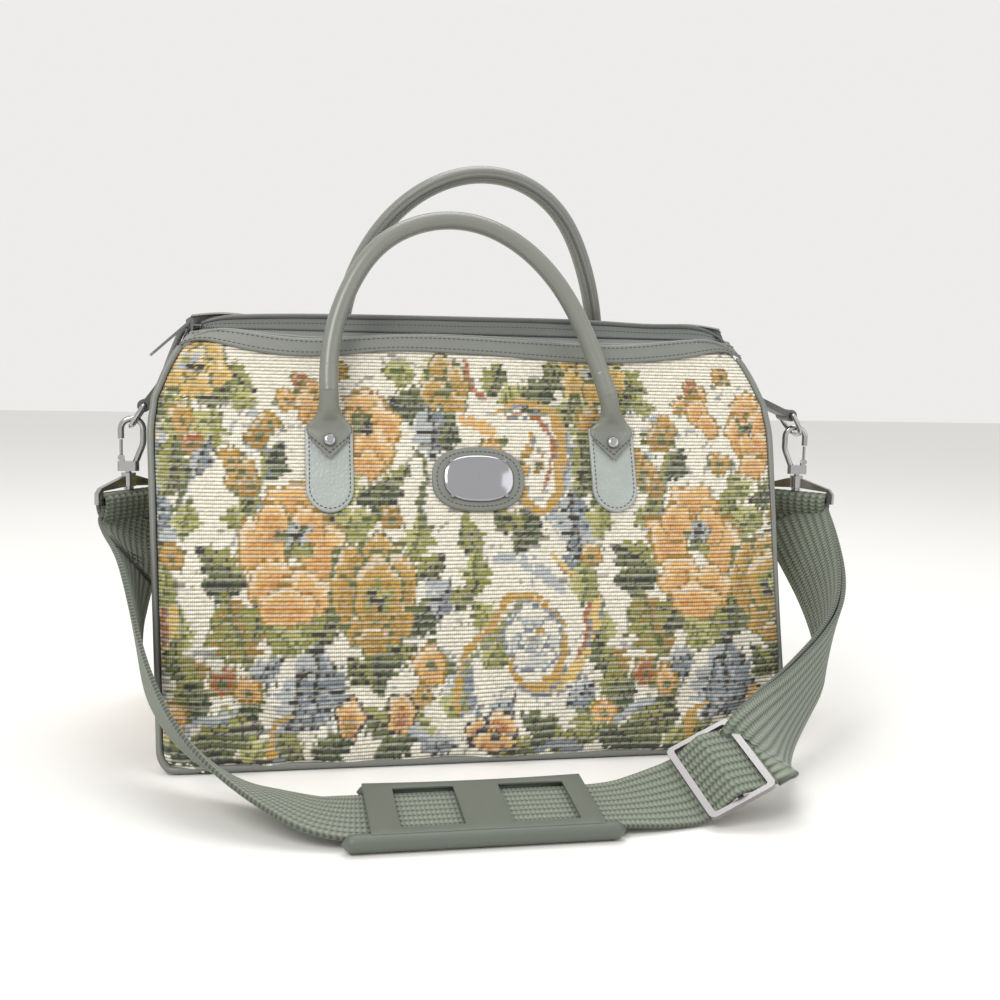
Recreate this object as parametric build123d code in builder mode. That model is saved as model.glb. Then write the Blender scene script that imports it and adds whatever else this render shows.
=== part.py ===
from build123d import *
from math import cos, radians, sin
import os

# Carpet bag with two rolled handles, a top zip and a clip-on shoulder strap.
# Millimetres. +Z up, -Y is the front, origin under the middle of the base.

# Driving dimensions of the bag body
base_half = 202.0
shoulder_half = 212.5
shoulder_z = 226.0
top_half = 190.0
depth_half = 110.0
front_height = 266.0
rear_height = 278.0
wall = 2.6
piping_size = 4.4
seam = 0.1
band_height = 10.5
band_skin = 2.0

# Handles: leather tubes on stitched tabs
grip_radius = 6.0
front_feet = (-99.0, 92.0)
front_neck_y = -52.0
front_neck_z = 219.0
front_lean = 18.0
rear_feet = (-88.0, 104.0)
rear_neck_y = 47.0
rear_neck_z = 236.0
rear_lean = 12.0
tab_width = 31.0
tab_length = 54.0
tab_skin = 2.0
rivet_radius = 4.2

# Badge on the front
patch_size = (62.0, 41.0)
plate_size = (47.0, 29.5)
badge_z = 176.0

# Shoulder strap and its hardware
web_width = 50.0
web_thick = 3.0
ring_radius = 1.7
hook_bar = 2.1

os.makedirs("parts", exist_ok=True)


def save(part, name):
    part.label = name
    export_step(part, "parts/" + name + ".step")


# The cloth walls follow one profile, from the base to the rim.
# Each level: height, how far the middle of the panel stands out, how far the seam does.
levels = ((0.0, 110.0, 107.5), (14.0, 110.0, 101.0), (45.0, 99.5, 88.0), (90.0, 86.5, 71.0),
          (135.0, 71.5, 56.0), (176.0, 55.5, 42.5), (210.0, 40.5, 31.0), (238.0, 27.0, 20.0),
          (266.0, 13.5, 8.0), (276.0, 8.8, 3.7))
rear_stretch = rear_height / front_height


def seam_reach(z, stretch=1.0):
    """Distance of the seam from the middle plane at height z."""
    for (z0, _, s0), (z1, _, s1) in zip(levels, levels[1:]):
        if z <= z1 * stretch or z1 == levels[-1][0]:
            t = (z / stretch - z0) / (z1 - z0)
            return s0 + t * (s1 - s0)


def panel_reach(z, stretch=1.0):
    """Distance of the middle of the panel from the middle plane at height z."""
    for (z0, m0, _), (z1, m1, _) in zip(levels, levels[1:]):
        if z <= z1 * stretch or z1 == levels[-1][0]:
            t = (z / stretch - z0) / (z1 - z0)
            return m0 + t * (m1 - m0)


def cloth_layer(side, inner, outer, stretch=1.0):
    """A pillowed sheet between two offsets of the panel surface; side is -1 front, +1 rear."""
    span = 240.0
    with BuildPart(mode=Mode.PRIVATE) as layer:
        for z, middle, edge in levels:
            with BuildSketch(Plane.XY.offset(z * stretch)):
                with BuildLine():
                    rows = []
                    for off in (outer, inner):
                        crown = middle - edge
                        points = [(k * span, side * (edge + crown * f + off))
                                  for k, f in ((-1, -0.15), (-0.72, 0.72), (-0.4, 0.97), (0, 1.0),
                                               (0.4, 0.97), (0.72, 0.72), (1, -0.15))]
                        rows.append(points)
                        Spline(*points)
                    Line(rows[0][0], rows[1][0])
                    Line(rows[0][-1], rows[1][-1])
                make_face()
        loft()
    return layer.part


def front_outline(grow=0.0, top=front_height):
    """The panel's outline in front view, as a wire inside an open BuildLine."""
    g = grow
    return Polyline((-base_half - g, -g), (-shoulder_half - g, shoulder_z),
                    (-top_half - g, top + g), (top_half + g, top + g),
                    (shoulder_half + g, shoulder_z), (base_half + g, -g), close=True)


def outline_prism(grow, top, reach=140.0):
    """The outline, pushed through the bag from front to back, with rounded corners."""
    with BuildPart(mode=Mode.PRIVATE) as prism:
        with BuildSketch(Plane.XZ) as face:
            with BuildLine():
                front_outline(grow, top)
            make_face()
            low = face.vertices().group_by(Axis.Y)[0]
            fillet(low, 14 + grow)
            high = face.vertices().group_by(Axis.Y)[-1]
            fillet(high, 16 + grow)
            shoulders = [v for v in face.vertices() if abs(v.Y - shoulder_z) < 0.5]
            fillet(shoulders, 22 + grow)
        extrude(amount=reach, both=True)
    return prism.part


def seam_profile(gap, z_low, z_high, stretch_front=1.0, stretch_rear=rear_stretch):
    """Everything between the front and rear seams, pulled in by gap, pushed across the bag."""
    with BuildPart(mode=Mode.PRIVATE) as between:
        with BuildSketch(Plane.YZ):
            with BuildLine():
                heights = [z_low] + [z for z, _, _ in levels if z_low < z < z_high] + [z_high]
                front = [(-(seam_reach(z, stretch_front) - gap), z) for z in heights]
                rear = [(seam_reach(z, stretch_rear) - gap, z) for z in heights]
                Polyline(*(front + rear[::-1]), close=True)
            make_face()
        extrude(amount=260, both=True)
    return between.part


def seam_strip(side, near, far, stretch, top):
    """A ribbon of space that follows one seam line from base to rim."""
    with BuildPart(mode=Mode.PRIVATE) as strip:
        with BuildSketch(Plane.YZ):
            with BuildLine():
                heights = [-6.0] + [z for z, _, _ in levels if z < top] + [top]
                one = [(side * (seam_reach(max(z, 0), stretch) - near), z) for z in heights]
                two = [(side * (seam_reach(max(z, 0), stretch) + far), z) for z in heights]
                Polyline(*(one + two[::-1]), close=True)
            make_face()
        extrude(amount=260, both=True)
    return strip.part


# Front and rear tapestry panels
with BuildPart() as front_panel:
    add(cloth_layer(-1, -wall, 0))
    add(outline_prism(-1.5, front_height), mode=Mode.INTERSECT)
save(front_panel.part, "front_panel")

with BuildPart() as rear_panel:
    add(cloth_layer(1, -wall, 0, rear_stretch))
    add(outline_prism(-1.5, rear_height), mode=Mode.INTERSECT)
save(rear_panel.part, "rear_panel")

# Gusset: one strip up the left side, under the base and up the right side
gusset_top = 182.0
with BuildPart() as gusset:
    add(outline_prism(0.0, front_height))
    add(outline_prism(-wall, front_height), mode=Mode.SUBTRACT)
    add(seam_profile(wall + 0.9, -1, gusset_top), mode=Mode.INTERSECT)
save(gusset.part, "gusset")

# Leather end pieces above the gusset, which carry the ring tabs and close over the zip ends
for side, name in ((-1, "left_end_panel"), (1, "right_end_panel")):
    with BuildPart() as end_panel:
        add(outline_prism(0.0, front_height))
        add(outline_prism(-wall, front_height), mode=Mode.SUBTRACT)
        add(seam_profile(wall + 0.9, gusset_top + seam, 262.0), mode=Mode.INTERSECT)
        with Locations((side * 205, 0, 230)):
            Box(36, 200, 110, mode=Mode.INTERSECT)
    save(end_panel.part, name)

# Piping round the front and rear seams, open along the top where the bands run
for side, stretch, top, name in ((-1, 1.0, front_height, "front_piping"),
                                 (1, rear_stretch, rear_height, "rear_piping")):
    with BuildPart() as piping:
        add(outline_prism(-1.5 + piping_size, top))
        add(outline_prism(-1.4, top), mode=Mode.SUBTRACT)
        add(seam_strip(side, wall + 0.8, 1.4, stretch, top - 8.0), mode=Mode.INTERSECT)
        with Locations((0, 0, 250)):
            Box(600, 400, 500, mode=Mode.INTERSECT)
    save(piping.part, name)

# Leather bands over the panels' top edges
for side, stretch, top, name in ((-1, 1.0, front_height, "front_zip_band"),
                                 (1, rear_stretch, rear_height, "rear_zip_band")):
    with BuildPart() as band:
        add(cloth_layer(side, 0.05, band_skin, stretch))
        add(outline_prism(-1.0, top + 4.5), mode=Mode.INTERSECT)
        with Locations((0, 0, top)):
            Box(500, 400, 2 * (band_height - 3.0), mode=Mode.INTERSECT)
    save(band.part, name)

# Zip: two tapes, each with its half of the coil
coil_z = 271.0
coil_y = 1.5
coil_radius = 1.5
zip_half = 184.0
tape = 1.0
for side, name in ((-1, "front_zip_tape"), (1, "rear_zip_tape")):
    near_y = coil_y + side * (coil_radius + 0.05)
    far_y = side * 9.6
    far_z = 268.0 if side < 0 else 272.5
    with BuildPart() as zip_tape:
        with BuildSketch(Plane.YZ):
            with BuildLine():
                Polyline((near_y, coil_z - tape / 2), (far_y, far_z - tape / 2),
                         (far_y, far_z + tape / 2), (near_y, coil_z + tape / 2), close=True)
            make_face()
            with Locations((near_y, coil_z)):
                Circle(coil_radius)
        extrude(amount=zip_half, both=True)
    save(zip_tape.part, name)

# Slider on the closed end of the coil, and its pull, which hangs over the corner
slider_x = -zip_half - 1.0
plate_length = 9.0
slider_gap = 0.4
pivot_rise = 4.6
with BuildPart() as zip_slider:
    for z in (coil_z + coil_radius + slider_gap, coil_z - coil_radius - slider_gap - 1.2):
        with BuildSketch(Plane.XY.offset(z)):
            with Locations((slider_x, coil_y)):
                RectangleRounded(plate_length, 8.4, 2.6)
        extrude(amount=1.2)
    with BuildSketch(Plane.XY.offset(coil_z - coil_radius - slider_gap)):
        with Locations((slider_x - 2.7, coil_y)):
            RectangleRounded(2.4, 3.2, 0.8)
    extrude(amount=2 * (coil_radius + slider_gap))
    with BuildSketch(Plane.XZ.offset(-coil_y)):
        with Locations((slider_x - 4.2, coil_z + pivot_rise)):
            Circle(2.5)
            Circle(1.3, mode=Mode.SUBTRACT)
    extrude(amount=0.9, both=True)
save(zip_slider.part, "zip_slider")

pull_pivot = (slider_x - 4.2, coil_y, coil_z + pivot_rise)
pull_drop = 42.0
pull_length = 33.0
pull_axis = Vector(-cos(radians(pull_drop)), 0, -sin(radians(pull_drop)))
pull_plane = Plane(origin=pull_pivot, x_dir=pull_axis, z_dir=(-pull_axis.Z, 0, pull_axis.X))
with BuildPart() as zip_pull:
    with BuildSketch(pull_plane):
        with Locations((pull_length / 2 + 1.6, 0)):
            SlotOverall(pull_length, 7.0)
        with Locations((3.0, 0)):
            Rectangle(6.0, 3.2, mode=Mode.SUBTRACT)
    extrude(amount=0.8, both=True)
    with Locations(Location(pull_pivot, (90, 0, 0))):
        Cylinder(0.9, 6.6)
    with BuildSketch(pull_plane):
        for y in (-2.6, 2.6):
            with Locations((2.2, y)):
                Rectangle(4.4, 1.4)
    extrude(amount=0.8, both=True)
save(zip_pull.part, "zip_pull")


def surface_plane(side, x, z, off, stretch=1.0):
    """A plane on the middle of a panel at height z, stood off outwards, facing out."""
    slope = (panel_reach(z + 1, stretch) - panel_reach(z - 1, stretch)) / 2
    out = Vector(0, side, -slope).normalized()
    spot = Vector(x, side * panel_reach(z, stretch), z) + out * off
    return Plane(origin=spot, x_dir=(-side, 0, 0), z_dir=out)


def upright_prism(sketch_fn, side, reach=150.0):
    """A front-view shape pushed through one half of the bag."""
    with BuildPart(mode=Mode.PRIVATE) as prism:
        with BuildSketch(Plane.XZ):
            sketch_fn()
        extrude(amount=-side * reach)
    return prism.part


# Handle tabs, handle ends and rivets
rear_tab_rise = rear_neck_z - front_neck_z - 1.5
for side, feet, stretch, rise, where in ((-1, front_feet, 1.0, 0.0, "front"),
                                         (1, rear_feet, rear_stretch, rear_tab_rise, "rear")):
    tab_top = 209.0 + rise
    for x, hand in zip(feet, ("left", "right")):
        def tombstone():
            with Locations((x, tab_top - tab_length / 2 + tab_width / 4)):
                Rectangle(tab_width, tab_length - tab_width / 2)
            with Locations((x, tab_top - tab_length + tab_width / 2)):
                Circle(tab_width / 2)
        with BuildPart() as tab:
            add(cloth_layer(side, 0.05, tab_skin, stretch))
            add(upright_prism(tombstone, side), mode=Mode.INTERSECT)
        save(tab.part, f"{where}_{hand}_handle_tab")

    def vee_ends():
        half = ((0, 189.5), (12.5, 202), (11.5, 208.5), (6.2, 212.4))
        for x in feet:
            outline = [(x + dx, z + rise) for dx, z in half]
            outline += [(x - dx, z + rise) for dx, z in half[:0:-1]]
            Polygon(*outline, align=None)

    with BuildPart() as ends:
        add(cloth_layer(side, tab_skin + 0.05, tab_skin + 3.2, stretch))
        add(upright_prism(vee_ends, side), mode=Mode.INTERSECT)
    save(ends.part, f"{where}_handle_ends")

    with BuildPart() as rivets:
        for x in feet:
            with BuildSketch(surface_plane(side, x, 199.0 + rise, tab_skin + 3.3, stretch)):
                Circle(rivet_radius)
            extrude(amount=2.6)
        fillet(rivets.faces().filter_by(GeomType.PLANE).sort_by(Axis.Y)[:2].edges()
               if side < 0 else rivets.faces().filter_by(GeomType.PLANE).sort_by(Axis.Y)[-2:].edges(), 2.2)
    save(rivets.part, f"{where}_handle_rivets")

# Rolled grips: each arch stands on its two necks and swings about them
# Corners of each arch from its left foot; every corner is rounded by the bend radius.
front_arch = ((0, 48), (25, 108), (62, 136), (108, 136), (147, 108), (171, 64))
rear_arch = ((0, 46), (20, 99), (46, 132), (78, 151), (112, 151), (150, 132), (174, 95), (188, 50))
front_bend = 60.0
rear_bend = 58.0
for side, feet, y, z, lean, arch, bend_radius, name in (
        (-1, front_feet, front_neck_y, front_neck_z, front_lean, front_arch, front_bend, "front_handle"),
        (1, rear_feet, rear_neck_y, rear_neck_z, rear_lean, rear_arch, rear_bend, "rear_handle")):
    up = Vector(0, -side * sin(radians(lean)), cos(radians(lean)))
    plane = Plane(origin=(0, y, z), x_dir=(1, 0, 0), z_dir=(0, -up.Z, up.Y))
    points = [(feet[0], 0)] + [(feet[0] + px, py) for px, py in arch] + [(feet[1], 0)]
    with BuildPart() as grip:
        with BuildLine(plane) as path:
            FilletPolyline(*points, radius=bend_radius)
        with BuildSketch(Plane(origin=path.line @ 0, z_dir=path.line % 0)):
            Circle(grip_radius)
        sweep()
        for x in feet:
            with Locations((x, y, z)):
                Sphere(grip_radius)
    save(grip.part, name)

# Badge: an oval leather patch, a metal plate on it and four small pins
patch_x = -1.5


def oval():
    with Locations((patch_x, badge_z)):
        Ellipse(patch_size[0] / 2, patch_size[1] / 2)


def barrel():
    w, h = plate_size
    with Locations((patch_x, badge_z)):
        Ellipse(w / 2, h / 2 + 3.4)
        Rectangle(w, h, mode=Mode.INTERSECT)
        with GridLocations(w - 10.5, h - 7.5, 2, 2):
            Circle(3.2)


with BuildPart() as patch:
    add(cloth_layer(-1, 0.05, 2.2))
    add(upright_prism(oval, -1), mode=Mode.INTERSECT)
save(patch.part, "badge_patch")

with BuildPart() as plate:
    add(cloth_layer(-1, 2.25, 3.6))
    add(upright_prism(barrel, -1), mode=Mode.INTERSECT)
save(plate.part, "badge_plate")

with BuildPart() as pins:
    pin_plane = surface_plane(-1, patch_x, badge_z, 3.75)
    with BuildSketch(pin_plane):
        with GridLocations(plate_size[0] - 11, (plate_size[1] - 7.5) * 1.08, 2, 2):
            Circle(1.3)
    extrude(amount=0.8)
save(pins.part, "badge_pins")

# Stiffening board that lies on the base inside
with BuildPart() as board:
    with BuildSketch(Plane.XY.offset(wall + 0.2)):
        RectangleRounded(2 * base_half - 40, 2 * depth_half - 46, 12)
    extrude(amount=2.5)
save(board.part, "base_board")

# Side hardware. Per side: sign, name, ring bar (x, z), hook foot (x, y),
# turn of the hook and of the strap loop about the vertical.
sides = ((-1, "left", (-218.5, 219.5), (-229.5, 0.0), 0.0, 52.0),
         (1, "right", (239.0, 219.0), (249.2, -1.0), 165.0, -50.0))
ring_lean = 32.0
ring_half = 13.0
ring_depth = 17.0
tab_half = 9.5
tab_leather = 2.2
hook_z = 175.5
loop_z = 157.0
loop_half = 29.5
loop_wire = 1.8
stud_radius = 2.0
bow = 7.2
bow_offset = 2.6
bow_play = 1.5
gate_foot = (-4.6, 9.0)


def in_side_plane(*points):
    """Front-view points as a filled shape."""
    Polygon(*[(p.X, p.Z) for p in points], align=None)


for side, hand, ring_bar, foot, hook_turn, loop_turn in sides:
    bar = Vector(ring_bar[0], 0, ring_bar[1])
    slope = Vector(side * -22.5, 0, 40).normalized()
    out = Vector(side * slope.Z, 0, side * -slope.X)
    low = Vector(side * 210.3, 0, 230)
    high = low + slope * 15
    start = low + slope * 2.5
    across = Vector(start.Z - bar.Z, 0, bar.X - start.X).normalized() * tab_leather
    bore = ring_radius + 0.35
    with BuildPart() as ring_tab:
        with BuildSketch(Plane.XZ):
            in_side_plane(low, high, high + out * tab_leather, low + out * tab_leather)
            in_side_plane(start - across, start + across, bar + across, bar - across)
            with Locations((bar.X, bar.Z)):
                Circle(bore + tab_leather)
                Circle(bore, mode=Mode.SUBTRACT)
        extrude(amount=tab_half, both=True)
        add(outline_prism(0.05, front_height), mode=Mode.SUBTRACT)
    save(ring_tab.part, f"{hand}_ring_tab")

    # D-ring, hanging from its tab
    drop = Vector(side * sin(radians(ring_lean)), 0, -cos(radians(ring_lean)))
    ring_plane = Plane(origin=bar, x_dir=(0, 1, 0), z_dir=Vector(0, 1, 0).cross(drop))
    arc_start = ring_depth - ring_half
    with BuildPart() as ring:
        with BuildLine(ring_plane) as dee:
            Line((-ring_half, 0), (-ring_half, arc_start))
            ThreePointArc((-ring_half, arc_start), (0, ring_depth), (ring_half, arc_start))
            Line((ring_half, arc_start), (ring_half, 0))
        with BuildSketch(Plane(origin=dee.line @ 0, z_dir=dee.line % 0)):
            Circle(ring_radius)
        sweep()
        with BuildSketch(Plane(origin=bar, z_dir=(0, 1, 0))):
            Circle(ring_radius)
        extrude(amount=ring_half, both=True)
        for y in (-ring_half, ring_half):
            with Locations((bar.X, y, bar.Z)):
                Sphere(ring_radius)
    save(ring.part, f"{hand}_d_ring")

    # Snap hook: a cast body with a bow over the ring, a foot block and a swivel stud
    hook_x = Vector(cos(radians(hook_turn)), sin(radians(hook_turn)), 0)
    hook_plane = Plane(origin=(foot[0], foot[1], hook_z), x_dir=hook_x,
                       z_dir=hook_x.cross(Vector(0, 0, 1)))
    ring_low = bar + drop * ring_depth
    bow_v = ring_low.Z + ring_radius + bow_play + hook_bar - bow - hook_z
    with BuildPart() as hook:
        with BuildLine(hook_plane) as spine:
            FilletPolyline((4.0, 4.0), (bow_offset + bow, bow_v - 9), (bow_offset + bow, bow_v), radius=14)
            ThreePointArc((bow_offset + bow, bow_v), (bow_offset, bow_v + bow), (bow_offset - bow, bow_v))
            Line((bow_offset - bow, bow_v), (bow_offset - bow, bow_v - 6.0))
        with BuildSketch(Plane(origin=spine.line @ 0, z_dir=spine.line % 0)):
            Circle(hook_bar)
        sweep()
        with BuildSketch(Plane.XY.offset(hook_z)):
            with Locations(Location((foot[0], foot[1], 0), (0, 0, hook_turn))):
                RectangleRounded(14.0, 7.0, 2.8)
        extrude(amount=6.5)
        with BuildSketch(Plane.XY.offset(loop_z + 6.4)):
            with Locations(foot):
                Circle(stud_radius)
        extrude(amount=hook_z - loop_z - 6.0)
        with BuildSketch(Plane.XY.offset(loop_z + 6.2)):
            with Locations(foot):
                Circle(3.3)
        extrude(amount=1.6)
        for turned in (-1, 1):
            with BuildSketch(hook_plane.offset(turned * 2.2)):
                with Locations(gate_foot):
                    Circle(2.0)
                    Circle(0.85, mode=Mode.SUBTRACT)
                with Locations((gate_foot[0] + 0.6, 6.8)):
                    Rectangle(2.6, 2.6)
            extrude(amount=turned * 1.2)
    save(hook.part, f"{hand}_snap_hook")

    # Gate: a thin lever on its pin, from the foot to the nose
    with BuildPart() as gate:
        with BuildLine(hook_plane) as lever:
            Line(gate_foot, (bow_offset - bow, bow_v - 6.6))
        with BuildSketch(Plane(origin=lever.line @ 0, z_dir=lever.line % 0)):
            Circle(1.05)
        sweep()
        for reach, radius in ((1.9, 2.0), (3.3, 0.8)):
            with BuildSketch(hook_plane):
                with Locations(gate_foot):
                    Circle(radius)
            extrude(amount=reach, both=True)
    save(gate.part, f"{hand}_hook_gate")

    # Strap loop: a forged frame with a collar that the stud turns in
    loop_x = Vector(cos(radians(loop_turn)), sin(radians(loop_turn)), 0)
    loop_plane = Plane(origin=(foot[0], foot[1], loop_z), x_dir=loop_x,
                       z_dir=loop_x.cross(Vector(0, 0, 1)))
    with BuildPart() as loop:
        with BuildSketch(loop_plane):
            Polygon((-loop_half, -loop_wire), (loop_half, -loop_wire), (loop_half, 5.5),
                    (loop_half - 3, 9.0), (6, 15.0), (-6, 15.0), (3 - loop_half, 9.0),
                    (-loop_half, 5.5), align=None)
            Polygon((3.5 - loop_half, loop_wire), (loop_half - 3.5, loop_wire),
                    (loop_half - 3.5, 5.4), (loop_half - 5.0, 6.9), (4.6, 8.2), (-4.6, 8.2),
                    (5.0 - loop_half, 6.9), (3.5 - loop_half, 5.4), align=None,
                    mode=Mode.SUBTRACT)
        extrude(amount=loop_wire, both=True)
        with BuildSketch(Plane.XY.offset(loop_z + 8.3)):
            with Locations(foot):
                Circle(4.8)
        extrude(amount=9.0)
        with BuildSketch(Plane.XY.offset(loop_z + 5.0)):
            with Locations(foot):
                Circle(stud_radius + 0.08)
        extrude(amount=14.0, mode=Mode.SUBTRACT)
    save(loop.part, f"{hand}_strap_loop")

# Shoulder strap: stations of its middle line and the direction across it, left to right
pad_middle = Vector(-27, -213, 7.9)
pad_across = Vector(0, 0.994, 0.11)
slide_middle = Vector(115, -211, 26.4)
slide_along = Vector(0.88, -0.02, 0.45).normalized()
slide_across = Vector(-0.18, 0.90, 0.39).normalized()
slide_out = slide_along.cross(slide_across).normalized()
left_foot, right_foot = [Vector(row[3][0], row[3][1], loop_z) for row in sides]
left_across, right_across = [Vector(cos(radians(row[5])), sin(radians(row[5])), 0) for row in sides]
stem = 14.0

left_run = (((-230, -4, 134), (.64, .74, -.18)), ((-228, -22, 121), (.5, .72, -.48)),
            ((-225, -44, 112), (.32, .69, -.65)), ((-222, -67, 101), (.15, .66, -.73)),
            ((-217, -95, 80), (.02, .63, -.78)), ((-208, -123, 59), (.03, .62, -.78)),
            ((-190, -152, 38), (.18, .68, -.71)), ((-165, -178, 24), (.32, .80, -.5)),
            ((-136, -197, 15), (.30, .94, -.18)))
right_run = (((157, -186, 37), (-.30, .35, .89)), ((176, -160, 39), (-.3, -.12, .95)),
             ((202, -132, 48), (-.21, -.27, .94)), ((228, -108, 62), (-.17, -.4, .9)),
             ((243, -85, 77), (-.02, -.56, .83)), ((250, -60, 96), (.18, -.67, .72)),
             ((251, -33, 118), (.4, -.72, .5)))


def web_section(middle, across, along, thick=web_thick, off=0.0):
    """A cross-section of the webbing, stood off along its own normal."""
    across = across.normalized()
    along = (along - across * along.dot(across)).normalized()
    normal = along.cross(across)
    with BuildSketch(Plane(origin=middle + normal * off, x_dir=across, z_dir=along),
                     mode=Mode.PRIVATE) as section:
        Rectangle(web_width, thick)
    return section.sketch


def web_body(stations, thick=web_thick, off=0.0):
    """Webbing lofted through its stations."""
    spots = [Vector(*p) for p, _ in stations]
    with BuildPart(mode=Mode.PRIVATE) as body:
        for i, (_, w) in enumerate(stations):
            along = spots[min(i + 1, len(spots) - 1)] - spots[max(i - 1, 0)]
            add(web_section(spots[i], Vector(*w), along, thick, off))
        loft(ruled=True)
    return body.part


def web_wrap(foot, across, legs):
    """Webbing folded over the loop's bar; legs are the two foot offsets under the bar."""
    face = Plane(origin=foot, x_dir=across.cross(Vector(0, 0, 1)), z_dir=-across)
    near, far = 2.9, 2.9 + web_thick
    with BuildPart(mode=Mode.PRIVATE) as wrap:
        with BuildSketch(face):
            Circle(far)
            Circle(near, mode=Mode.SUBTRACT)
            with Locations((0, -far)):
                Rectangle(2 * far, 2 * far, mode=Mode.SUBTRACT)
            for sign, (low_near, low_far) in zip((-1, 1), legs):
                Polygon((sign * near, 0), (sign * far, 0), (low_far, 0.05 - stem),
                        (low_near, 0.05 - stem), align=None)
        extrude(amount=web_width / 2, both=True)
    return wrap.part


def tup(v):
    return (v.X, v.Y, v.Z)


left_start = tup(left_foot - Vector(0, 0, stem))
right_end = tup(right_foot - Vector(0, 0, stem))
hump = [(slide_middle + slide_along * s + slide_out * n, slide_across)
        for s, n in ((-27, -3.2), (-21.6, -3.4), (-16.4, -3.4), (-2.4, 3.5), (2.4, 3.5),
                     (16.4, -3.4), (21.6, -3.4), (27, -3.2))]
pad_run = [(pad_middle + Vector(dx, 0, 0.3), pad_across) for dx in (-80, 80)]
bend = ((73, -212, 9.5), (-.06, .96, .26))
main_run = ([(left_start, tup(left_across))] + list(left_run)
            + [(tup(p), tup(w)) for p, w in pad_run] + [bend]
            + [(tup(p), tup(w)) for p, w in hump] + list(right_run)
            + [(right_end, tup(right_across * -1))])
return_run = [(tup(hump[-1][0]), tup(slide_across))] + list(right_run) + [(right_end, tup(right_across * -1))]
with BuildPart() as strap:
    add(web_body(main_run))
    add(web_body(return_run, off=-3.8))
    add(web_wrap(left_foot, left_across, ((1.5, -1.5), (0.9, 4.5))))
    add(web_wrap(right_foot, right_across, ((-2.3, -5.3), (-1.5, 1.5))))
save(strap.part, "shoulder_strap")

# Strap slide: a wire frame with a middle bar under the webbing
slide_plane = Plane(origin=slide_middle, x_dir=slide_along, z_dir=slide_out)
with BuildPart() as slide:
    with BuildSketch(slide_plane):
        RectangleRounded(42, 58, 4)
        RectangleRounded(34, 51.6, 1.5, mode=Mode.SUBTRACT)
        Rectangle(3.2, 53)
    extrude(amount=1.6, both=True)
save(slide.part, "strap_slide")

# Shoulder pad: one moulding with a slot for the webbing and two windows on top
pad_plane = Plane(origin=pad_middle, x_dir=(1, 0, 0), z_dir=Vector(1, 0, 0).cross(pad_across))
with BuildPart() as pad:
    with BuildSketch(pad_plane):
        RectangleRounded(150, 65, 9)
    extrude(amount=4, both=True)
    with BuildSketch(Plane.YZ.offset(pad_middle.X)):
        with Locations((pad_middle.Y, pad_middle.Z + 0.3)):
            Rectangle(51.6, 3.9, rotation=6.3)
    extrude(amount=90, both=True, mode=Mode.SUBTRACT)
    with BuildSketch(pad_plane):
        for x, width in ((-31.5, 43), (34.5, 41)):
            with Locations((x, 0)):
                RectangleRounded(width, 45, 4)
    extrude(amount=6, mode=Mode.SUBTRACT)
save(pad.part, "shoulder_pad")
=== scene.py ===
from math import cos, pi, radians, sin

import bpy
import numpy as np
from mathutils import Matrix, Vector


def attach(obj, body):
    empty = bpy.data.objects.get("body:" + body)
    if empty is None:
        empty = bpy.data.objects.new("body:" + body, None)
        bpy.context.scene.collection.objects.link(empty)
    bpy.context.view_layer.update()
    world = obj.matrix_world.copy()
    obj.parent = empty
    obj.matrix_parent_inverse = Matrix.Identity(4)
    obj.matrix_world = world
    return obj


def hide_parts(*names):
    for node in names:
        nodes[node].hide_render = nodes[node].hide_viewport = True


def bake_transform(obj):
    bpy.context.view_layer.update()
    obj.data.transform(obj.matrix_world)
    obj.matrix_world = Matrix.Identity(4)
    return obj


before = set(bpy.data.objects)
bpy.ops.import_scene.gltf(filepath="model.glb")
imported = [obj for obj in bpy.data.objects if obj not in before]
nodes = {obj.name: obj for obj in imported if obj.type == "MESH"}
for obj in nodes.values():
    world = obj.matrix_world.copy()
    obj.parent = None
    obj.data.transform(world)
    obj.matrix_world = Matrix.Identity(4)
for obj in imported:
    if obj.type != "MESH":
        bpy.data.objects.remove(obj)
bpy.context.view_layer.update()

# A soft carpet bag: tapestry walls, leather trim and a webbing strap. Up is +Z and the front faces -Y.
# Shapes are worked out in millimetres and turned into metres by MM. Side -1 is the front, 1 the rear.
MM = 0.001
PLACE = {-1: "front", 1: "rear"}

# Camera and stage
CAMERA_SPOT = Vector((-0.1492, -0.8662, 0.2615))
CAMERA_YAW, CAMERA_DIP, CAMERA_ROLL = 11.36, 6.83, 1.37
LENS, SENSOR = 45, 36
# Lights: name, place, what they face, size in metres, watts, tint.
LIGHTS = (("key", (-0.9, -1.2, 1.5), (0, 0, 0.12), 1.0, 19, (1.0, 0.98, 0.95)),
          ("fill", (1.3, -1.1, 0.9), (0, 0, 0.15), 1.4, 5, (0.96, 0.98, 1.0)),
          ("top", (0.1, 0.3, 1.6), (0, 0, 0.2), 1.2, 11, (1, 1, 1)))
SKY_COLOUR, SKY_STRENGTH = (1.0, 0.99, 0.975, 1), 0.85
FLOOR_REACH, FLOOR_DROP = 4.0, 0.0002


def new_object(name, data):
    """An object that holds the data, put in the scene."""
    obj = bpy.data.objects.new(name, data)
    bpy.context.collection.objects.link(obj)
    return obj


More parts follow.
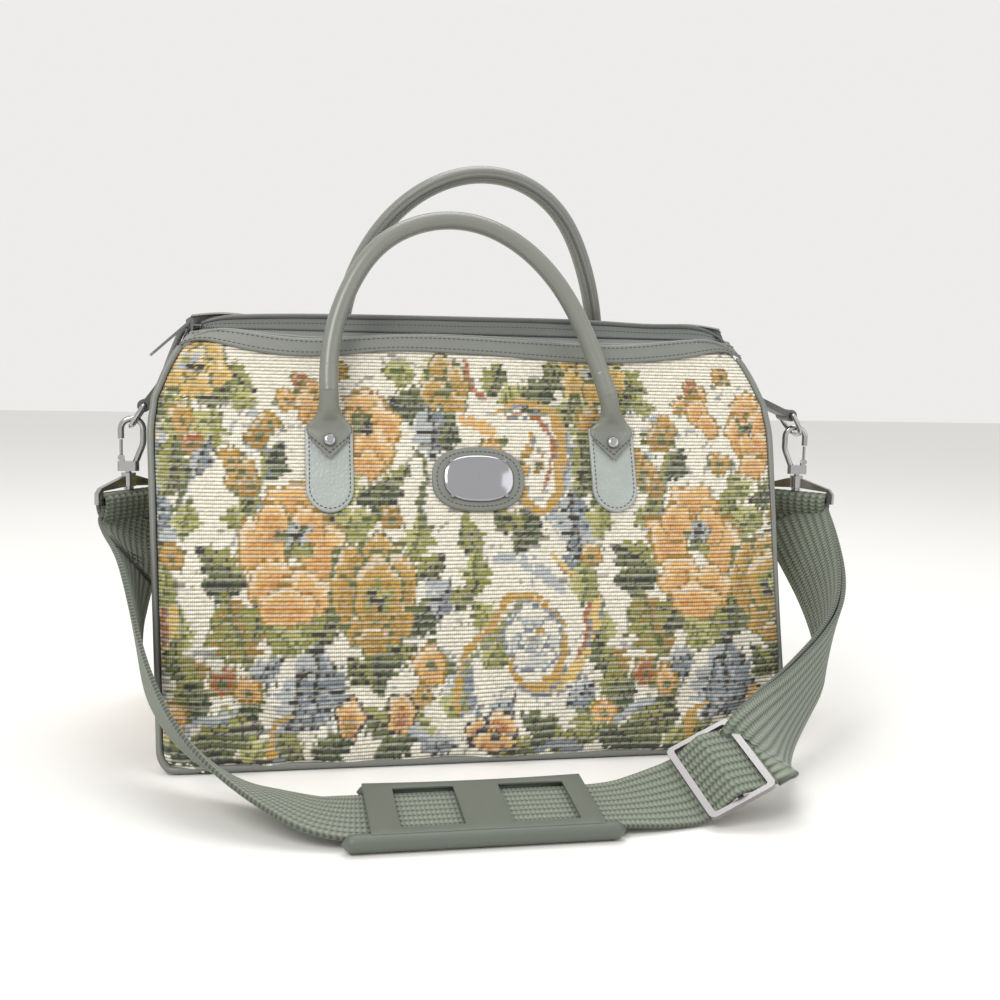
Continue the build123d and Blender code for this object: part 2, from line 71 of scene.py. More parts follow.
def make_camera():
    a, b, r = (radians(x) for x in (CAMERA_YAW, CAMERA_DIP, CAMERA_ROLL))
    ahead = Vector((sin(a) * cos(b), cos(a) * cos(b), -sin(b)))
    right = Vector((cos(a), -sin(a), 0))
    up = right.cross(ahead)
    across = right * cos(r) + up * sin(r)
    upward = up * cos(r) - right * sin(r)
    data = bpy.data.cameras.new("photo_camera")
    data.lens, data.sensor_width = LENS, SENSOR
    data.clip_start, data.clip_end = 0.01, 50
    cam = new_object("photo_camera", data)
    turn = Matrix((across, upward, -ahead)).transposed().to_4x4()
    cam.matrix_world = Matrix.Translation(CAMERA_SPOT) @ turn
    bpy.context.scene.camera = cam


def add_light(name, spot, aim, size, watts, tint):
    data = bpy.data.lights.new(name, "AREA")
    data.shape, data.size, data.energy, data.color = "DISK", size, watts, tint
    lamp = new_object(name, data)
    lamp.location = spot
    lamp.rotation_mode = "QUATERNION"
    lamp.rotation_quaternion = (Vector(aim) - Vector(spot)).to_track_quat("-Z", "Y")


def make_stage():
    world = bpy.data.worlds.new("studio")
    world.use_nodes = True
    sky = world.node_tree.nodes["Background"]
    sky.inputs[0].default_value = SKY_COLOUR
    sky.inputs[1].default_value = SKY_STRENGTH
    bpy.context.scene.world = world
    bpy.context.scene.view_settings.view_transform = "Standard"
    for light in LIGHTS:
        add_light(*light)
    edges = (-FLOOR_REACH, FLOOR_REACH)
    floor = quad_mesh("floor", np.array([[[x, y, -FLOOR_DROP] for x in edges] for y in edges]))
    floor.data.materials.append(plain_material("floor_paint", (0.80, 0.79, 0.77), 0.55))


# Mesh helpers
def quad_mesh(name, grid, close_u=False, close_v=False, flip=False):
    """A smooth mesh from a grid of points in metres: rows, columns, xyz."""
    rows, cols = grid.shape[:2]
    r_count, c_count = rows - (not close_v), cols - (not close_u)
    r, c = np.meshgrid(np.arange(r_count), np.arange(c_count), indexing="ij")
    r2, c2 = (r + 1) % rows, (c + 1) % cols
    faces = np.stack([r * cols + c, r * cols + c2, r2 * cols + c2, r2 * cols + c], -1).reshape(-1, 4)
    if flip:
        faces = faces[:, ::-1]
    mesh = bpy.data.meshes.new(name)
    mesh.vertices.add(rows * cols)
    mesh.vertices.foreach_set("co", grid.reshape(-1).astype(np.float32))
    mesh.loops.add(faces.size)
    mesh.loops.foreach_set("vertex_index", faces.reshape(-1).astype(np.int32))
    mesh.polygons.add(len(faces))
    mesh.polygons.foreach_set("loop_start", np.arange(0, faces.size, 4, dtype=np.int32))
    shade_smooth(mesh)
    mesh.update(calc_edges=True)
    return new_object(name, mesh)


def shade_smooth(mesh):
    mesh.polygons.foreach_set("use_smooth", np.ones(len(mesh.polygons), bool))


def final_mesh(obj):
    """The object's mesh with its modifiers applied."""
    return bpy.data.meshes.new_from_object(obj.evaluated_get(bpy.context.evaluated_depsgraph_get()))


def unit(vectors):
    return vectors / np.linalg.norm(vectors, axis=-1, keepdims=True)


def run_along(line):
    """The length of the line up to each of its points."""
    return np.r_[0, np.cumsum(np.linalg.norm(np.diff(line, axis=0), axis=1))]


def set_uv(obj, uv):
    """uv holds one (u, v) for each vertex."""
    layer = obj.data.uv_layers.new(name="cloth")
    index = np.empty(len(obj.data.loops), np.int32)
    obj.data.loops.foreach_get("vertex_index", index)
    layer.data.foreach_set("uv", uv.reshape(-1, 2)[index].reshape(-1).astype(np.float32))


def set_colour(obj, rgb):
    """rgb holds one colour for each vertex."""
    layer = obj.data.color_attributes.new("dye", "FLOAT_COLOR", "POINT")
    rgba = np.concatenate([rgb.reshape(-1, 3), np.ones((len(obj.data.vertices), 1))], 1)
    layer.data.foreach_set("color", rgba.reshape(-1).astype(np.float32))


def finish_piece(obj, material, body, replaces=()):
    """Give a piece its material, body and the solids that it stands for."""
    obj.data.materials.clear()
    obj.data.materials.append(material)
    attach(obj, body)
    if replaces:
        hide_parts(*replaces)
    return obj


def joined(name, parts):
    """Several mesh objects as one."""
    with bpy.context.temp_override(active_object=parts[0], selected_editable_objects=parts,
                                   selected_objects=parts):
        bpy.ops.object.join()
    parts[0].name = name
    parts[0].data.name = name
    return parts[0]


FINE_STEPS = 40


def smooth_line(points, count):
    """Natural cubic through the points, evenly spaced by length."""
    p = np.array(points, float)
    t = run_along(p)
    fine = np.linspace(0, t[-1], FINE_STEPS * len(p))
    dense = np.stack([cubic(t, column, fine) for column in p.T], 1)
    run = run_along(dense)
    want = np.linspace(0, run[-1], count)
    return np.stack([np.interp(want, run, column) for column in dense.T], 1)


def cubic(x, y, at):
    """Values at the given places of the natural cubic spline through x and y."""
    x, y, at = (np.asarray(v, float) for v in (x, y, at))
    n, h = len(x), np.diff(x)
    a = np.zeros((n, n))
    b = np.zeros(n)
    a[0, 0] = a[-1, -1] = 1
    for i in range(1, n - 1):
        a[i, i - 1:i + 2] = h[i - 1], 2 * (h[i - 1] + h[i]), h[i]
        b[i] = 6 * ((y[i + 1] - y[i]) / h[i] - (y[i] - y[i - 1]) / h[i - 1])
    m = np.linalg.solve(a, b)
    i = np.clip(np.searchsorted(x, at) - 1, 0, n - 2)
    d, e = at - x[i], x[i + 1] - at
    return ((m[i] * e ** 3 + m[i + 1] * d ** 3) / (6 * h[i]) + (y[i] / h[i] - m[i] * h[i] / 6) * e
            + (y[i + 1] / h[i] - m[i + 1] * h[i] / 6) * d)


def frames_along(line, hint):
    """Tangent, side and normal at each point; side stays near the hint."""
    t = unit(np.gradient(line, axis=0))
    hint = np.broadcast_to(np.asarray(hint, float), line.shape)
    side = unit(hint - t * np.sum(hint * t, 1)[:, None])
    return t, side, np.cross(t, side)


# Rounded ends of a tube: steps out from the end and radii, both as shares of the end's radius.
CAP_HEAD, CAP_TAIL = (0.9, 0.45, 0.117), (0.117, 0.45, 0.9)
CAP_RADII = np.array([0.02, 0.6, 0.9])


def tube(name, line, radii, hint=(0, 1, 0), around=16, flat=1.0, cap=True):
    """A round or oval tube along a line; radii and flat are one value or one for each point."""
    line = np.asarray(line, float)
    t, side, normal = frames_along(line, hint)
    radii = np.broadcast_to(np.asarray(radii, float), (len(line),))
    flat = np.broadcast_to(np.asarray(flat, float), (len(line),))
    if cap:
        head = [line[0] - t[0] * radii[0] * step for step in CAP_HEAD]
        tail = [line[-1] + t[-1] * radii[-1] * step for step in CAP_TAIL]
        line = np.vstack([head, line, tail])
        radii = np.r_[radii[0] * CAP_RADII, radii, radii[-1] * CAP_RADII[::-1]]
        flat = np.r_[[flat[0]] * 3, flat, [flat[-1]] * 3]
        side = np.vstack([[side[0]] * 3, side, [side[-1]] * 3])
        normal = np.vstack([[normal[0]] * 3, normal, [normal[-1]] * 3])
    angle = np.linspace(0, 2 * pi, around, endpoint=False)
    ring = (side[:, None] * np.cos(angle)[None, :, None]
            + normal[:, None] * np.sin(angle)[None, :, None] * flat[:, None, None])
    return quad_mesh(name, (line[:, None] + ring * radii[:, None, None]) * MM, close_u=True)


# Materials
def srgb(r, g, b):
    """A linear colour from screen values of 0 to 255."""
    c = np.array((r, g, b), float) / 255
    return np.where(c <= 0.04045, c / 12.92, ((c + 0.055) / 1.055) ** 2.4)


def start_material(name, roughness, metallic=0.0):
    mat = bpy.data.materials.new(name)
    mat.use_nodes = True
    shader = mat.node_tree.nodes["Principled BSDF"]
    shader.inputs["Roughness"].default_value = roughness
    shader.inputs["Metallic"].default_value = metallic
    return mat, mat.node_tree, shader


def plain_material(name, colour, roughness, metallic=0.0):
    mat, _, shader = start_material(name, roughness, metallic)
    shader.inputs["Base Color"].default_value = (*colour, 1)
    return mat


def node(tree, kind, **values):
    """A shader node; each value sets a property of that name, or else an input."""
    made = tree.nodes.new(kind)
    for key, value in values.items():
        if hasattr(made, key):
            setattr(made, key, value)
        else:
            made.inputs[key.replace("_", " ")].default_value = value
    return made


def math_node(tree, operation, first, second=None):
    made = node(tree, "ShaderNodeMath", operation=operation)
    for i, value in enumerate((first, second)):
        if value is None:
            continue
        if isinstance(value, (int, float)):
            made.inputs[i].default_value = value
        else:
            tree.links.new(value, made.inputs[i])
    return made.outputs[0]


def lit_by(tree, shader, colour, shade):
    """Set the base colour to a colour, fixed or from a node, times a shade."""
    base = node(tree, "ShaderNodeVectorMath", operation="SCALE")
    if isinstance(colour, tuple):
        base.inputs[0].default_value = colour
    else:
        tree.links.new(colour, base.inputs[0])
    tree.links.new(shade, base.inputs["Scale"])
    tree.links.new(base.outputs[0], shader.inputs["Base Color"])


def add_bump(tree, shader, height, strength, distance):
    bump = node(tree, "ShaderNodeBump", Strength=strength, Distance=distance)
    tree.links.new(height, bump.inputs["Height"])
    tree.links.new(bump.outputs[0], shader.inputs["Normal"])


def cloth_uv(tree):
    """The u and v of the cloth's own map."""
    split = node(tree, "ShaderNodeSeparateXYZ")
    tree.links.new(node(tree, "ShaderNodeUVMap", uv_map="cloth").outputs[0], split.inputs[0])
    return split.outputs[0], split.outputs[1]


def leather_material(name, colour, roughness=0.42, grain=900.0, depth=0.25, mottle=0.10):
    """Pebbled leather: grain is how fine the pebbles are, depth how deep, mottle how uneven."""
    mat, tree, shader = start_material(name, roughness)
    place = node(tree, "ShaderNodeTexCoord").outputs["Object"]
    pebble = node(tree, "ShaderNodeTexVoronoi", feature="SMOOTH_F1", Scale=grain)
    tree.links.new(place, pebble.inputs["Vector"])
    cloud = node(tree, "ShaderNodeTexNoise", Scale=34.0, Detail=4.0)
    tree.links.new(place, cloud.inputs["Vector"])
    mix = node(tree, "ShaderNodeMix", data_type="RGBA")
    mix.inputs[6].default_value = (*[c * (1 - mottle) for c in colour], 1)
    mix.inputs[7].default_value = (*[c * (1 + mottle) for c in colour], 1)
    tree.links.new(cloud.outputs[0], mix.inputs[0])
    tree.links.new(mix.outputs[2], shader.inputs["Base Color"])
    add_bump(tree, shader, pebble.outputs["Distance"], depth, 0.0004)
    shader.inputs["Coat Weight"].default_value = 0.12
    shader.inputs["Coat Roughness"].default_value = 0.35
    return mat


def tapestry_material():
    """Dyed ribs: colour from the mesh, fine upright threads from the UV map, with a little painted shade
    between the threads.
    """
    mat, tree, shader = start_material("tapestry_weave", 0.85)
    dye = node(tree, "ShaderNodeVertexColor", layer_name="dye")
    u, _ = cloth_uv(tree)
    # Painted shade: the sine darkens the colour a little between the upright threads.
    thread = math_node(tree, "SINE", math_node(tree, "MULTIPLY", u, 2 * pi / THREAD_PITCH))
    shade = math_node(tree, "ADD", math_node(tree, "MULTIPLY", thread, 0.08), 0.94)
    fuzz = node(tree, "ShaderNodeTexNoise", Scale=1600.0, Detail=2.0)
    tree.links.new(node(tree, "ShaderNodeTexCoord").outputs["Object"], fuzz.inputs["Vector"])
    fleck = math_node(tree, "ADD", math_node(tree, "MULTIPLY", fuzz.outputs[0], 0.5), 0.75)
    lit_by(tree, shader, dye.outputs[0], math_node(tree, "MULTIPLY", shade, fleck))
    add_bump(tree, shader, math_node(tree, "ADD", thread, fuzz.outputs[0]), 0.35, 0.0005)
    shader.inputs["Sheen Weight"].default_value = 0.15
    return mat


def webbing_material(name, colour, ribs):
    """Chunky woven strap: u runs across the strap from 0 to 1, v along it in millimetres. Its colour carries
    painted shade where the cords and knots are low.
    """
    mat, tree, shader = start_material(name, 0.8)
    u, v = cloth_uv(tree)
    cord_phase = math_node(tree, "MULTIPLY", u, 2 * pi * ribs)
    cord_sine = math_node(tree, "SINE", math_node(tree, "MULTIPLY", cord_phase, 0.5))
    cord_wave = math_node(tree, "ABSOLUTE", cord_sine)
    slant = math_node(tree, "ADD", math_node(tree, "MULTIPLY", v, 2 * pi / KNOT_PITCH),
                      math_node(tree, "MULTIPLY", cord_wave, 2.2))
    knots = math_node(tree, "SINE", slant)
    knots = math_node(tree, "MULTIPLY", math_node(tree, "ADD", knots, 1.0), 0.5)
    height = math_node(tree, "ADD", math_node(tree, "MULTIPLY", cord_wave, 0.9),
                       math_node(tree, "MULTIPLY", knots, 0.55))
    # Painted shade: the colour is darker where the cords and knots are low and lighter on their tops.
    shade = math_node(tree, "ADD", math_node(tree, "MULTIPLY", height, 0.62), 0.24)
    lit_by(tree, shader, tuple(colour), shade)
    add_bump(tree, shader, height, 0.9, 0.0011)
    shader.inputs["Sheen Weight"].default_value = 0.2
    return mat


RIB_PITCH = 2.5
THREAD_PITCH = 1.3
KNOT_PITCH = 2.6
WEBBING_RIBS = 9
leather = leather_material("leather_grey", srgb(116, 119, 113) * 0.92, 0.40)
leather_gloss = leather_material("leather_handle", srgb(116, 119, 111), 0.27, 500.0, 0.05, 0.06)
leather_silver = leather_material("leather_tab", srgb(152, 158, 155), 0.34, 620.0, 1.0, 0.26)
leather_dark = leather_material("leather_dark", srgb(84, 86, 84), 0.42)
tapestry = tapestry_material()
webbing = webbing_material("webbing_grey", srgb(122, 131, 115), WEBBING_RIBS)
steel = plain_material("steel_bright", (0.42, 0.42, 0.43), 0.2, 1.0)
steel_dark = plain_material("steel_smoked", (0.22, 0.22, 0.24), 0.25, 1.0)
slide_steel = plain_material("slide_nickel", (0.30, 0.29, 0.29), 0.34, 1.0)
badge_metal = plain_material("badge_polished", (0.40, 0.40, 0.42), 0.1, 1.0)
zip_cloth = plain_material("zip_cloth", srgb(104, 107, 104), 0.85)
coil_nylon = plain_material("zip_coil", srgb(78, 80, 80), 0.45)
thread_dark = plain_material("thread_dark", srgb(78, 82, 82), 0.7)
pad_rubber = leather_material("pad_moulding", srgb(88, 94, 85), 0.5, 1400.0, 0.3, 0.05)
board_card = plain_material("base_card", srgb(110, 98, 80), 0.9)

# The bag's cloth surface
# Depth of a wall from the middle plane at each height, at its middle and at its seams.
LEVEL_Z = np.array([0.0, 14, 45, 90, 135, 176, 210, 238, 266, 276])
LEVEL_MIDDLE = np.array([110.0, 110, 99.5, 86.5, 71.5, 55.5, 40.5, 27, 13.5, 8.8])
LEVEL_SEAM = np.array([107.5, 101.0, 88, 71, 56, 42.5, 31, 20, 8, 3.7])
FRONT_TOP, REAR_TOP = 266.0, 278.0
STRETCH = {-1: 1.0, 1: REAR_TOP / FRONT_TOP}
SPAN = 240.0
# How the wall swells from its seams to its middle, over half-widths of SPAN.
PILLOW_AT = np.array([-1, -0.72, -0.4, 0, 0.4, 0.72, 1])
PILLOW = np.array([-0.15, 0.72, 0.97, 1.0, 0.97, 0.72, -0.15])
# Front view of a wall: half widths, the shoulder's height and softness, and corner radii.
BASE_HALF, SHOULDER_HALF, TOP_HALF, SHOULDER_Z = 202.0, 212.5, 190.0, 226.0
SHOULDER_CUT, SHOULDER_SOFT = 3.0, 13.0
FOOT_ROUND, TOP_ROUND = 14.0, 12.0
# Slack of the wall: height of each bulge or hollow, its middle and its reach in x and z.
BULGES = ((4.5, -196, 95, 22, 60), (3.0, 150, 60, 60, 40), (-2.5, 60, 120, 70, 50),
          (3.0, -60, 70, 80, 45), (-2.5, -150, 40, 40, 26))
REAR_SLACK = 0.8


def seam_reach(z, side):
    return cubic(LEVEL_Z * STRETCH[side], LEVEL_SEAM, z)


def cloth_y(x, z, side):
    """Distance of the panel's face from the middle plane, before its folds."""
    middle = cubic(LEVEL_Z * STRETCH[side], LEVEL_MIDDLE, z)
    seam = seam_reach(z, side)
    return seam + (middle - seam) * cubic(PILLOW_AT, PILLOW, x / SPAN)


def half_width(z, side, grow=0.0):
    """Half the panel's width at height z, with its rounded corners."""
    top = FRONT_TOP if side < 0 else REAR_TOP
    z = np.asarray(z, float)
    edge = np.where(z < SHOULDER_Z, BASE_HALF + (SHOULDER_HALF - BASE_HALF) * z / SHOULDER_Z,
                    SHOULDER_HALF + (TOP_HALF - SHOULDER_HALF) * (z - SHOULDER_Z) / (top - SHOULDER_Z))
    bow = SHOULDER_CUT * np.exp(-((z - SHOULDER_Z) / SHOULDER_SOFT) ** 2)
    low = np.clip(FOOT_ROUND - z, 0, FOOT_ROUND)
    high = np.clip(z - (top - TOP_ROUND), 0, TOP_ROUND)
    foot_cut = FOOT_ROUND - np.sqrt(FOOT_ROUND ** 2 - low ** 2)
    top_cut = TOP_ROUND - np.sqrt(np.maximum(TOP_ROUND ** 2 - high ** 2, 0))
    return edge - bow - foot_cut - top_cut + grow


def hill(x, z, cx, cz, rx, rz):
    """A smooth hill of height 1 with its top at cx and cz."""
    return np.exp(-((x - cx) / rx) ** 2 - ((z - cz) / rz) ** 2)


def folds(x, z, side):
    """How far the slack cloth stands out from the plain surface, in mm."""
    out = sum(height * hill(x, z, *place) for height, *place in BULGES)
    creases = 1.5 * np.sin(x / 15.0 + z / 12.0) + 1.0 * np.sin(x / 8.5 - z / 9.0 + 1.3)
    out += np.exp(-((z - 30) / 34) ** 2) * creases
    out += hill(x, z, -165, 22, 50, 34) * 3.4 * np.sin((x + z * 1.2) / 7.5)
    out += hill(x, z, 168, 26, 46, 34) * 3.0 * np.sin((x - z * 1.3) / 8.0)
    out -= 3.0 * np.exp(-(z / 9.0) ** 2)
    out += 1.3 * np.sin(x / 31 + 0.6) * np.sin(z / 39 + 0.4) * np.clip((150 - z) / 60, 0, 1)
    calm = np.clip((z - 140) / 25, 0, 1)
    slack = 1.0 if side < 0 else REAR_SLACK
    return slack * out * (1 - calm) + 0.5 * calm * np.sin(x / 26) * np.sin(z / 17)


# The tapestry's pattern
CREAM, LACE, OLIVE, MOSS = srgb(236, 230, 214), srgb(158, 154, 146), srgb(144, 144, 76), srgb(98, 106, 62)
LIME, GOLD, YELLOW, PEACH = srgb(178, 176, 108), srgb(192, 152, 72), srgb(222, 188, 112), srgb(224, 178, 110)
APRICOT, BLUE, INK, RUST = srgb(204, 144, 78), srgb(176, 182, 184), srgb(56, 56, 52), srgb(168, 104, 62)
PINE, SLATE, BRONZE = srgb(68, 82, 54), srgb(124, 134, 144), srgb(160, 126, 56)
# The pattern's repeat across the cloth and how far its shapes reach to the left and right of it.
REPEAT, REPEAT_LEFT, REPEAT_RIGHT = 271.0, 96.0, 214.0
NOISE_CELLS, NOISE_ORIGIN = 64, 640


def noise2(x, y, scale, seed):
    """Smooth value noise on a grid of the given scale."""
    table = np.random.default_rng(seed).random((NOISE_CELLS, NOISE_CELLS))
    gx, gy = x / scale + NOISE_ORIGIN, y / scale + NOISE_ORIGIN
    i, j = np.floor(gx).astype(int), np.floor(gy).astype(int)
    fx, fy = gx - i, gy - j
    fx, fy = fx * fx * (3 - 2 * fx), fy * fy * (3 - 2 * fy)
    i0, i1, j0, j1 = i % NOISE_CELLS, (i + 1) % NOISE_CELLS, j % NOISE_CELLS, (j + 1) % NOISE_CELLS
    a = table[i0, j0] * (1 - fx) + table[i1, j0] * fx
    b = table[i0, j1] * (1 - fx) + table[i1, j1] * fx
    return a * (1 - fy) + b * fy - 0.5


class Dyer:
    """Paints simple shapes on cloth that is flat in x and z (millimetres)."""

    def __init__(self, x, z):
        # Two sizes of noise make the outlines waver, and spot breaks the colours up.
        self.x = x + 4.2 * noise2(x, z, 10, 1) + 1.8 * noise2(x, z, 3.6, 2)
        self.z = z + 4.2 * noise2(x, z, 10, 3) + 1.8 * noise2(x, z, 3.6, 4)
        self.rgb = np.broadcast_to(CREAM, (*x.shape, 3)).copy()
        self.spot = noise2(x, z, 2.4, 5) + 0.5 * noise2(x, z, 6, 6)

    def near(self, cx, cz, reach):
        """The cells close to a shape and their offsets from its centre."""
        dx, dz = self.x - cx, self.z - cz
        box = (np.abs(dx) < reach) & (np.abs(dz) < reach)
        return box, dx[box], dz[box], self.spot[box]

    def lay(self, box, mask, colour):
        """Colour the cells of the box that the mask picks."""
        if not mask.any():
            return
        picked = np.zeros(box.shape, bool)
        picked[box] = mask
        self.rgb[picked] = colour

    def petal(self, cx, cz, rx, rz, turn, light, deep, edge):
        """A petal with a dark rim, a lit outer lip and deep streaks towards its foot."""
        box, dx, dz, spot = self.near(cx, cz, max(rx, rz) * 1.5)
        c, s = cos(turn), sin(turn)
        a, b = (dx * c + dz * s) / rx, (dz * c - dx * s) / rz
        angle = np.arctan2(b, a)
        size = np.hypot(a, b) / (1 + 0.08 * np.cos(5 * angle + cx) + 0.05 * np.cos(9 * angle))
        low = np.hypot(a * 0.95, b + 0.30) < 0.66
        self.lay(box, size < 1.0 + 1.6 / min(rx, rz), edge)
        self.lay(box, size < 1.0, light)
        self.lay(box, (size < 0.97) & low, 0.5 * light + 0.5 * deep)
        self.lay(box, (size < 0.97) & low & (np.sin(angle * 8 + cx) + 2 * spot > 0.35), deep)
        lip = (size < 0.98) & (size > 0.74) & (b > 0.25) & (spot > -0.25)
        self.lay(box, lip, 0.45 * light + 0.55 * CREAM)

    def blob(self, cx, cz, rx, rz, colour, lobes=3, deep=0.15, spotty=9.0):
        """A lobed patch of one colour; cells with more noise than spotty are left out."""
        box, dx, dz, spot = self.near(cx, cz, max(rx, rz) * 1.5)
        a, b = dx / rx, dz / rz
        size = np.sqrt(a * a + b * b) / (1 + deep * np.cos(lobes * np.arctan2(b, a) + cx))
        self.lay(box, (size < 1) & (spot < spotty), colour)

    def leaf(self, cx, cz, long, turn, tone):
        """A toothed leaf: lit above its vein, dark below it and along its lower edge."""
        box, dx, dz, spot = self.near(cx, cz, long)
        light, dark, rim = LEAF_TONES[tone]
        c, s = cos(turn), sin(turn)
        a, b = (dx * c + dz * s) / (long / 2), (dz * c - dx * s) / (long / 2)
        tooth = (a * 2.6 + np.abs(b) * 1.2 + cx) % 1.0
        half = (0.40 + 0.34 * tooth) * np.clip(1 - np.abs(a) ** 1.5, 0, 1) * (1.1 - 0.35 * a)
        inside = (np.abs(a) < 1) & (np.abs(b) < half)
        low = b * np.sign(c) < 0
        self.lay(box, (np.abs(a) < 1) & (np.abs(b) < half + 0.07) & low, rim)
        self.lay(box, inside, light)
        self.lay(box, inside & low & (spot < 0.28), dark)
        self.lay(box, inside & (tooth < 0.17), rim)
        self.lay(box, (np.abs(a) < 0.9) & (np.abs(b) < 0.05), rim)

    def stroke(self, points, wide, colour, spotty=9.0):
        """A brush stroke, thin at its ends."""
        line = smooth_line(points, 9 * len(points))
        low, high = line.min(0) - wide, line.max(0) + wide
        box = (self.x > low[0]) & (self.x < high[0]) & (self.z > low[1]) & (self.z < high[1])
        px, pz = self.x[box], self.z[box]
        best = np.full(px.shape, np.inf)
        for k, (qx, qz) in enumerate(line):
            w = wide * (0.35 + 0.65 * sin(pi * k / (len(line) - 1)))
            best = np.minimum(best, np.hypot(px - qx, pz - qz) / w)
        self.lay(box, (best < 0.5) & (self.spot[box] < spotty), colour)


# Leaves: the light side, the dark side and the rim of each tone.
LEAF_TONES = ((LIME, OLIVE, MOSS), (OLIVE, MOSS, INK), (MOSS, PINE, INK), (BRONZE, OLIVE, MOSS),
              (BLUE, SLATE, INK))
# Leaves of one repeat: centre x and z, length, turn, tone.
LEAVES = ((-193, 211, 40, 1.9, 0), (-176, 207, 34, 1.4, 0), (-199, 188, 32, 1.5, 1), (-170, 228, 26, 0.3, 1),
          (-160, 240, 30, -0.5, 1), (-154, 226, 22, -0.3, 0), (-181, 190, 24, 1.2, 4),
          (-134, 187, 26, 1.1, 2),
          (-150, 162, 20, 0.8, 1), (-160, 152, 18, 1.9, 0), (-168, 124, 38, 2.6, 1), (-166, 112, 32, 0.1, 2),
          (-158, 84, 50, 1.9, 3), (-144, 92, 32, 1.2, 1), (-116, 84, 40, 0.9, 0), (-103, 90, 36, 1.4, 1),
          (-129, 78, 30, 2.4, 0), (-98, 158, 30, 1.5, 1), (-84, 148, 36, 0.5, 0), (-88, 172, 26, 1.9, 0),
          (-66, 166, 32, 0.1, 2), (-56, 178, 22, 0.6, 1), (-43, 140, 32, 1.3, 0), (-35, 122, 26, 0.6, 1),
          (-41, 92, 34, 0.7, 2), (-28, 102, 26, 1.2, 4), (-70, 62, 36, 1.5, 2), (-56, 70, 26, 0.4, 1),
          (-82, 58, 24, 2.2, 1), (-43, 224, 34, -0.1, 2), (-28, 248, 24, 0.9, 0), (-50, 245, 26, 2.9, 0),
          (-32, 208, 40, 1.5, 4), (-20, 206, 26, 1.1, 2), (-16, 188, 22, 1.9, 1), (14, 242, 26, 1.0, 1),
          (26, 232, 24, 0.3, 0), (44, 231, 34, 0.6, 2), (56, 246, 24, 1.9, 1), (62, 220, 26, 1.2, 1),
          (29, 146, 36, 1.1, 2), (17, 150, 26, 2.4, 1), (-7, 140, 30, 1.9, 1), (-6, 118, 30, 1.4, 0),
          (-14, 104, 22, 0.7, 1), (-2, 92, 24, 2.2, 0), (6, 72, 32, 1.2, 0), (62, 150, 40, 1.5, 4),
          (66, 128, 36, 1.7, 4), (74, 178, 30, 0.9, 1), (70, 190, 22, 2.4, 2), (80, 84, 26, 1.6, 0),
          (-190, 150, 26, 1.4, 0), (-194, 66, 30, 1.8, 1), (-182, 40, 30, 0.9, 2), (-162, 24, 44, 0.2, 1),
          (-176, 12, 34, 2.7, 2), (-146, 10, 30, 1.1, 0), (-128, 16, 32, 2.5, 1), (-110, 50, 54, 1.5, 4),
          (-122, 42, 40, 1.3, 4), (-98, 14, 30, 0.5, 2), (-72, 30, 30, 2.6, 1), (-60, 12, 32, 0.4, 2),
          (-44, 26, 26, 1.9, 0), (-34, 14, 28, 2.8, 4), (-22, 40, 24, 1.2, 0), (18, 8, 32, 0.3, 1),
          (34, 22, 34, 2.5, 2), (52, 12, 32, 0.5, 1), (66, 26, 34, 1.6, 0), (80, 14, 28, 2.7, 2),
          (60, 42, 26, 0.6, 4), (84, 44, 34, 1.2, 1), (10, 34, 26, 0.7, 4), (-140, 60, 26, 0.5, 4),
          (86, 62, 26, 2.1, 3), (-204, 110, 30, 1.3, 0), (-150, 40, 24, 2.0, 2))
# Loose strokes of one repeat: width, colour, points. The first UNDER_STROKES lie under the leaves.
UNDER_STROKES = 10
STROKES = ((11, BLUE, ((-150, 222), (-146, 206), (-152, 190))), (8, BLUE, ((-168, 246), (-160, 232),
           (-164, 220))),
           (12, BLUE, ((-102, 68), (-108, 46), (-100, 24))), (4, INK, ((-96, 66), (-103, 46), (-95, 26))),
           (9, SLATE, ((-92, 60), (-94, 44), (-88, 32))), (9, BLUE, ((-34, 74), (-24, 58), (-28, 40))),
           (10, SLATE, ((-10, 60), (-16, 44), (-6, 30))), (10, BLUE, ((-38, 112), (-26, 106), (-18, 92))),
           (13, BLUE, ((56, 214), (66, 190), (62, 166), (72, 140), (64, 118))),
           (10, BLUE, ((8, 124), (24, 126), (42, 116), (54, 100))), (6, SLATE, ((20, 96), (36, 100),
           (46, 86))),
           (8, GOLD, ((14, 219), (30, 226), (48, 222), (57, 205), (55, 184), (45, 158), (33, 160), (30, 184),
                      (39, 206))),
           (4, RUST, ((22, 216), (38, 218), (50, 204), (49, 184), (42, 166))),
           (8, YELLOW, ((47, 128), (58, 118), (71, 106), (73, 84), (64, 64), (46, 48), (30, 42))),
           (4, RUST, ((54, 118), (67, 102), (68, 82), (58, 62))),
           (7, GOLD, ((-22, 32), (-19, 52), (-12, 72), (4, 86), (14, 98), (30, 102), (44, 92), (50, 74),
                      (46, 54), (30, 46), (17, 54), (16, 68))),
           (4, OLIVE, ((-16, 50), (-8, 68), (6, 80), (18, 92), (32, 95))),
           (5, RUST, ((-6, 256), (-2, 240), (6, 228))), (8, PEACH, ((-10, 214), (4, 210), (12, 196))),
           (5, GOLD, ((-122, -2), (-136, 12), (-134, 28), (-124, 34))),
           (6, BLUE, ((-190, 26), (-176, 32), (-160, 36))), (4, INK, ((-172, 6), (-150, 4), (-130, 8))),
           (9, BLUE, ((-60, 40), (-50, 26), (-38, 18))), (6, SLATE, ((30, 6), (46, 10), (60, 6))),
           (4, OLIVE, ((-152, 146), (-146, 164), (-142, 184), (-140, 204))),
           (4, MOSS, ((-44, 196), (-36, 180), (-40, 160), (-38, 146))),
           (4, MOSS, ((70, 150), (80, 168), (84, 190))), (4, OLIVE, ((-20, 172), (-12, 156), (-8, 130))))
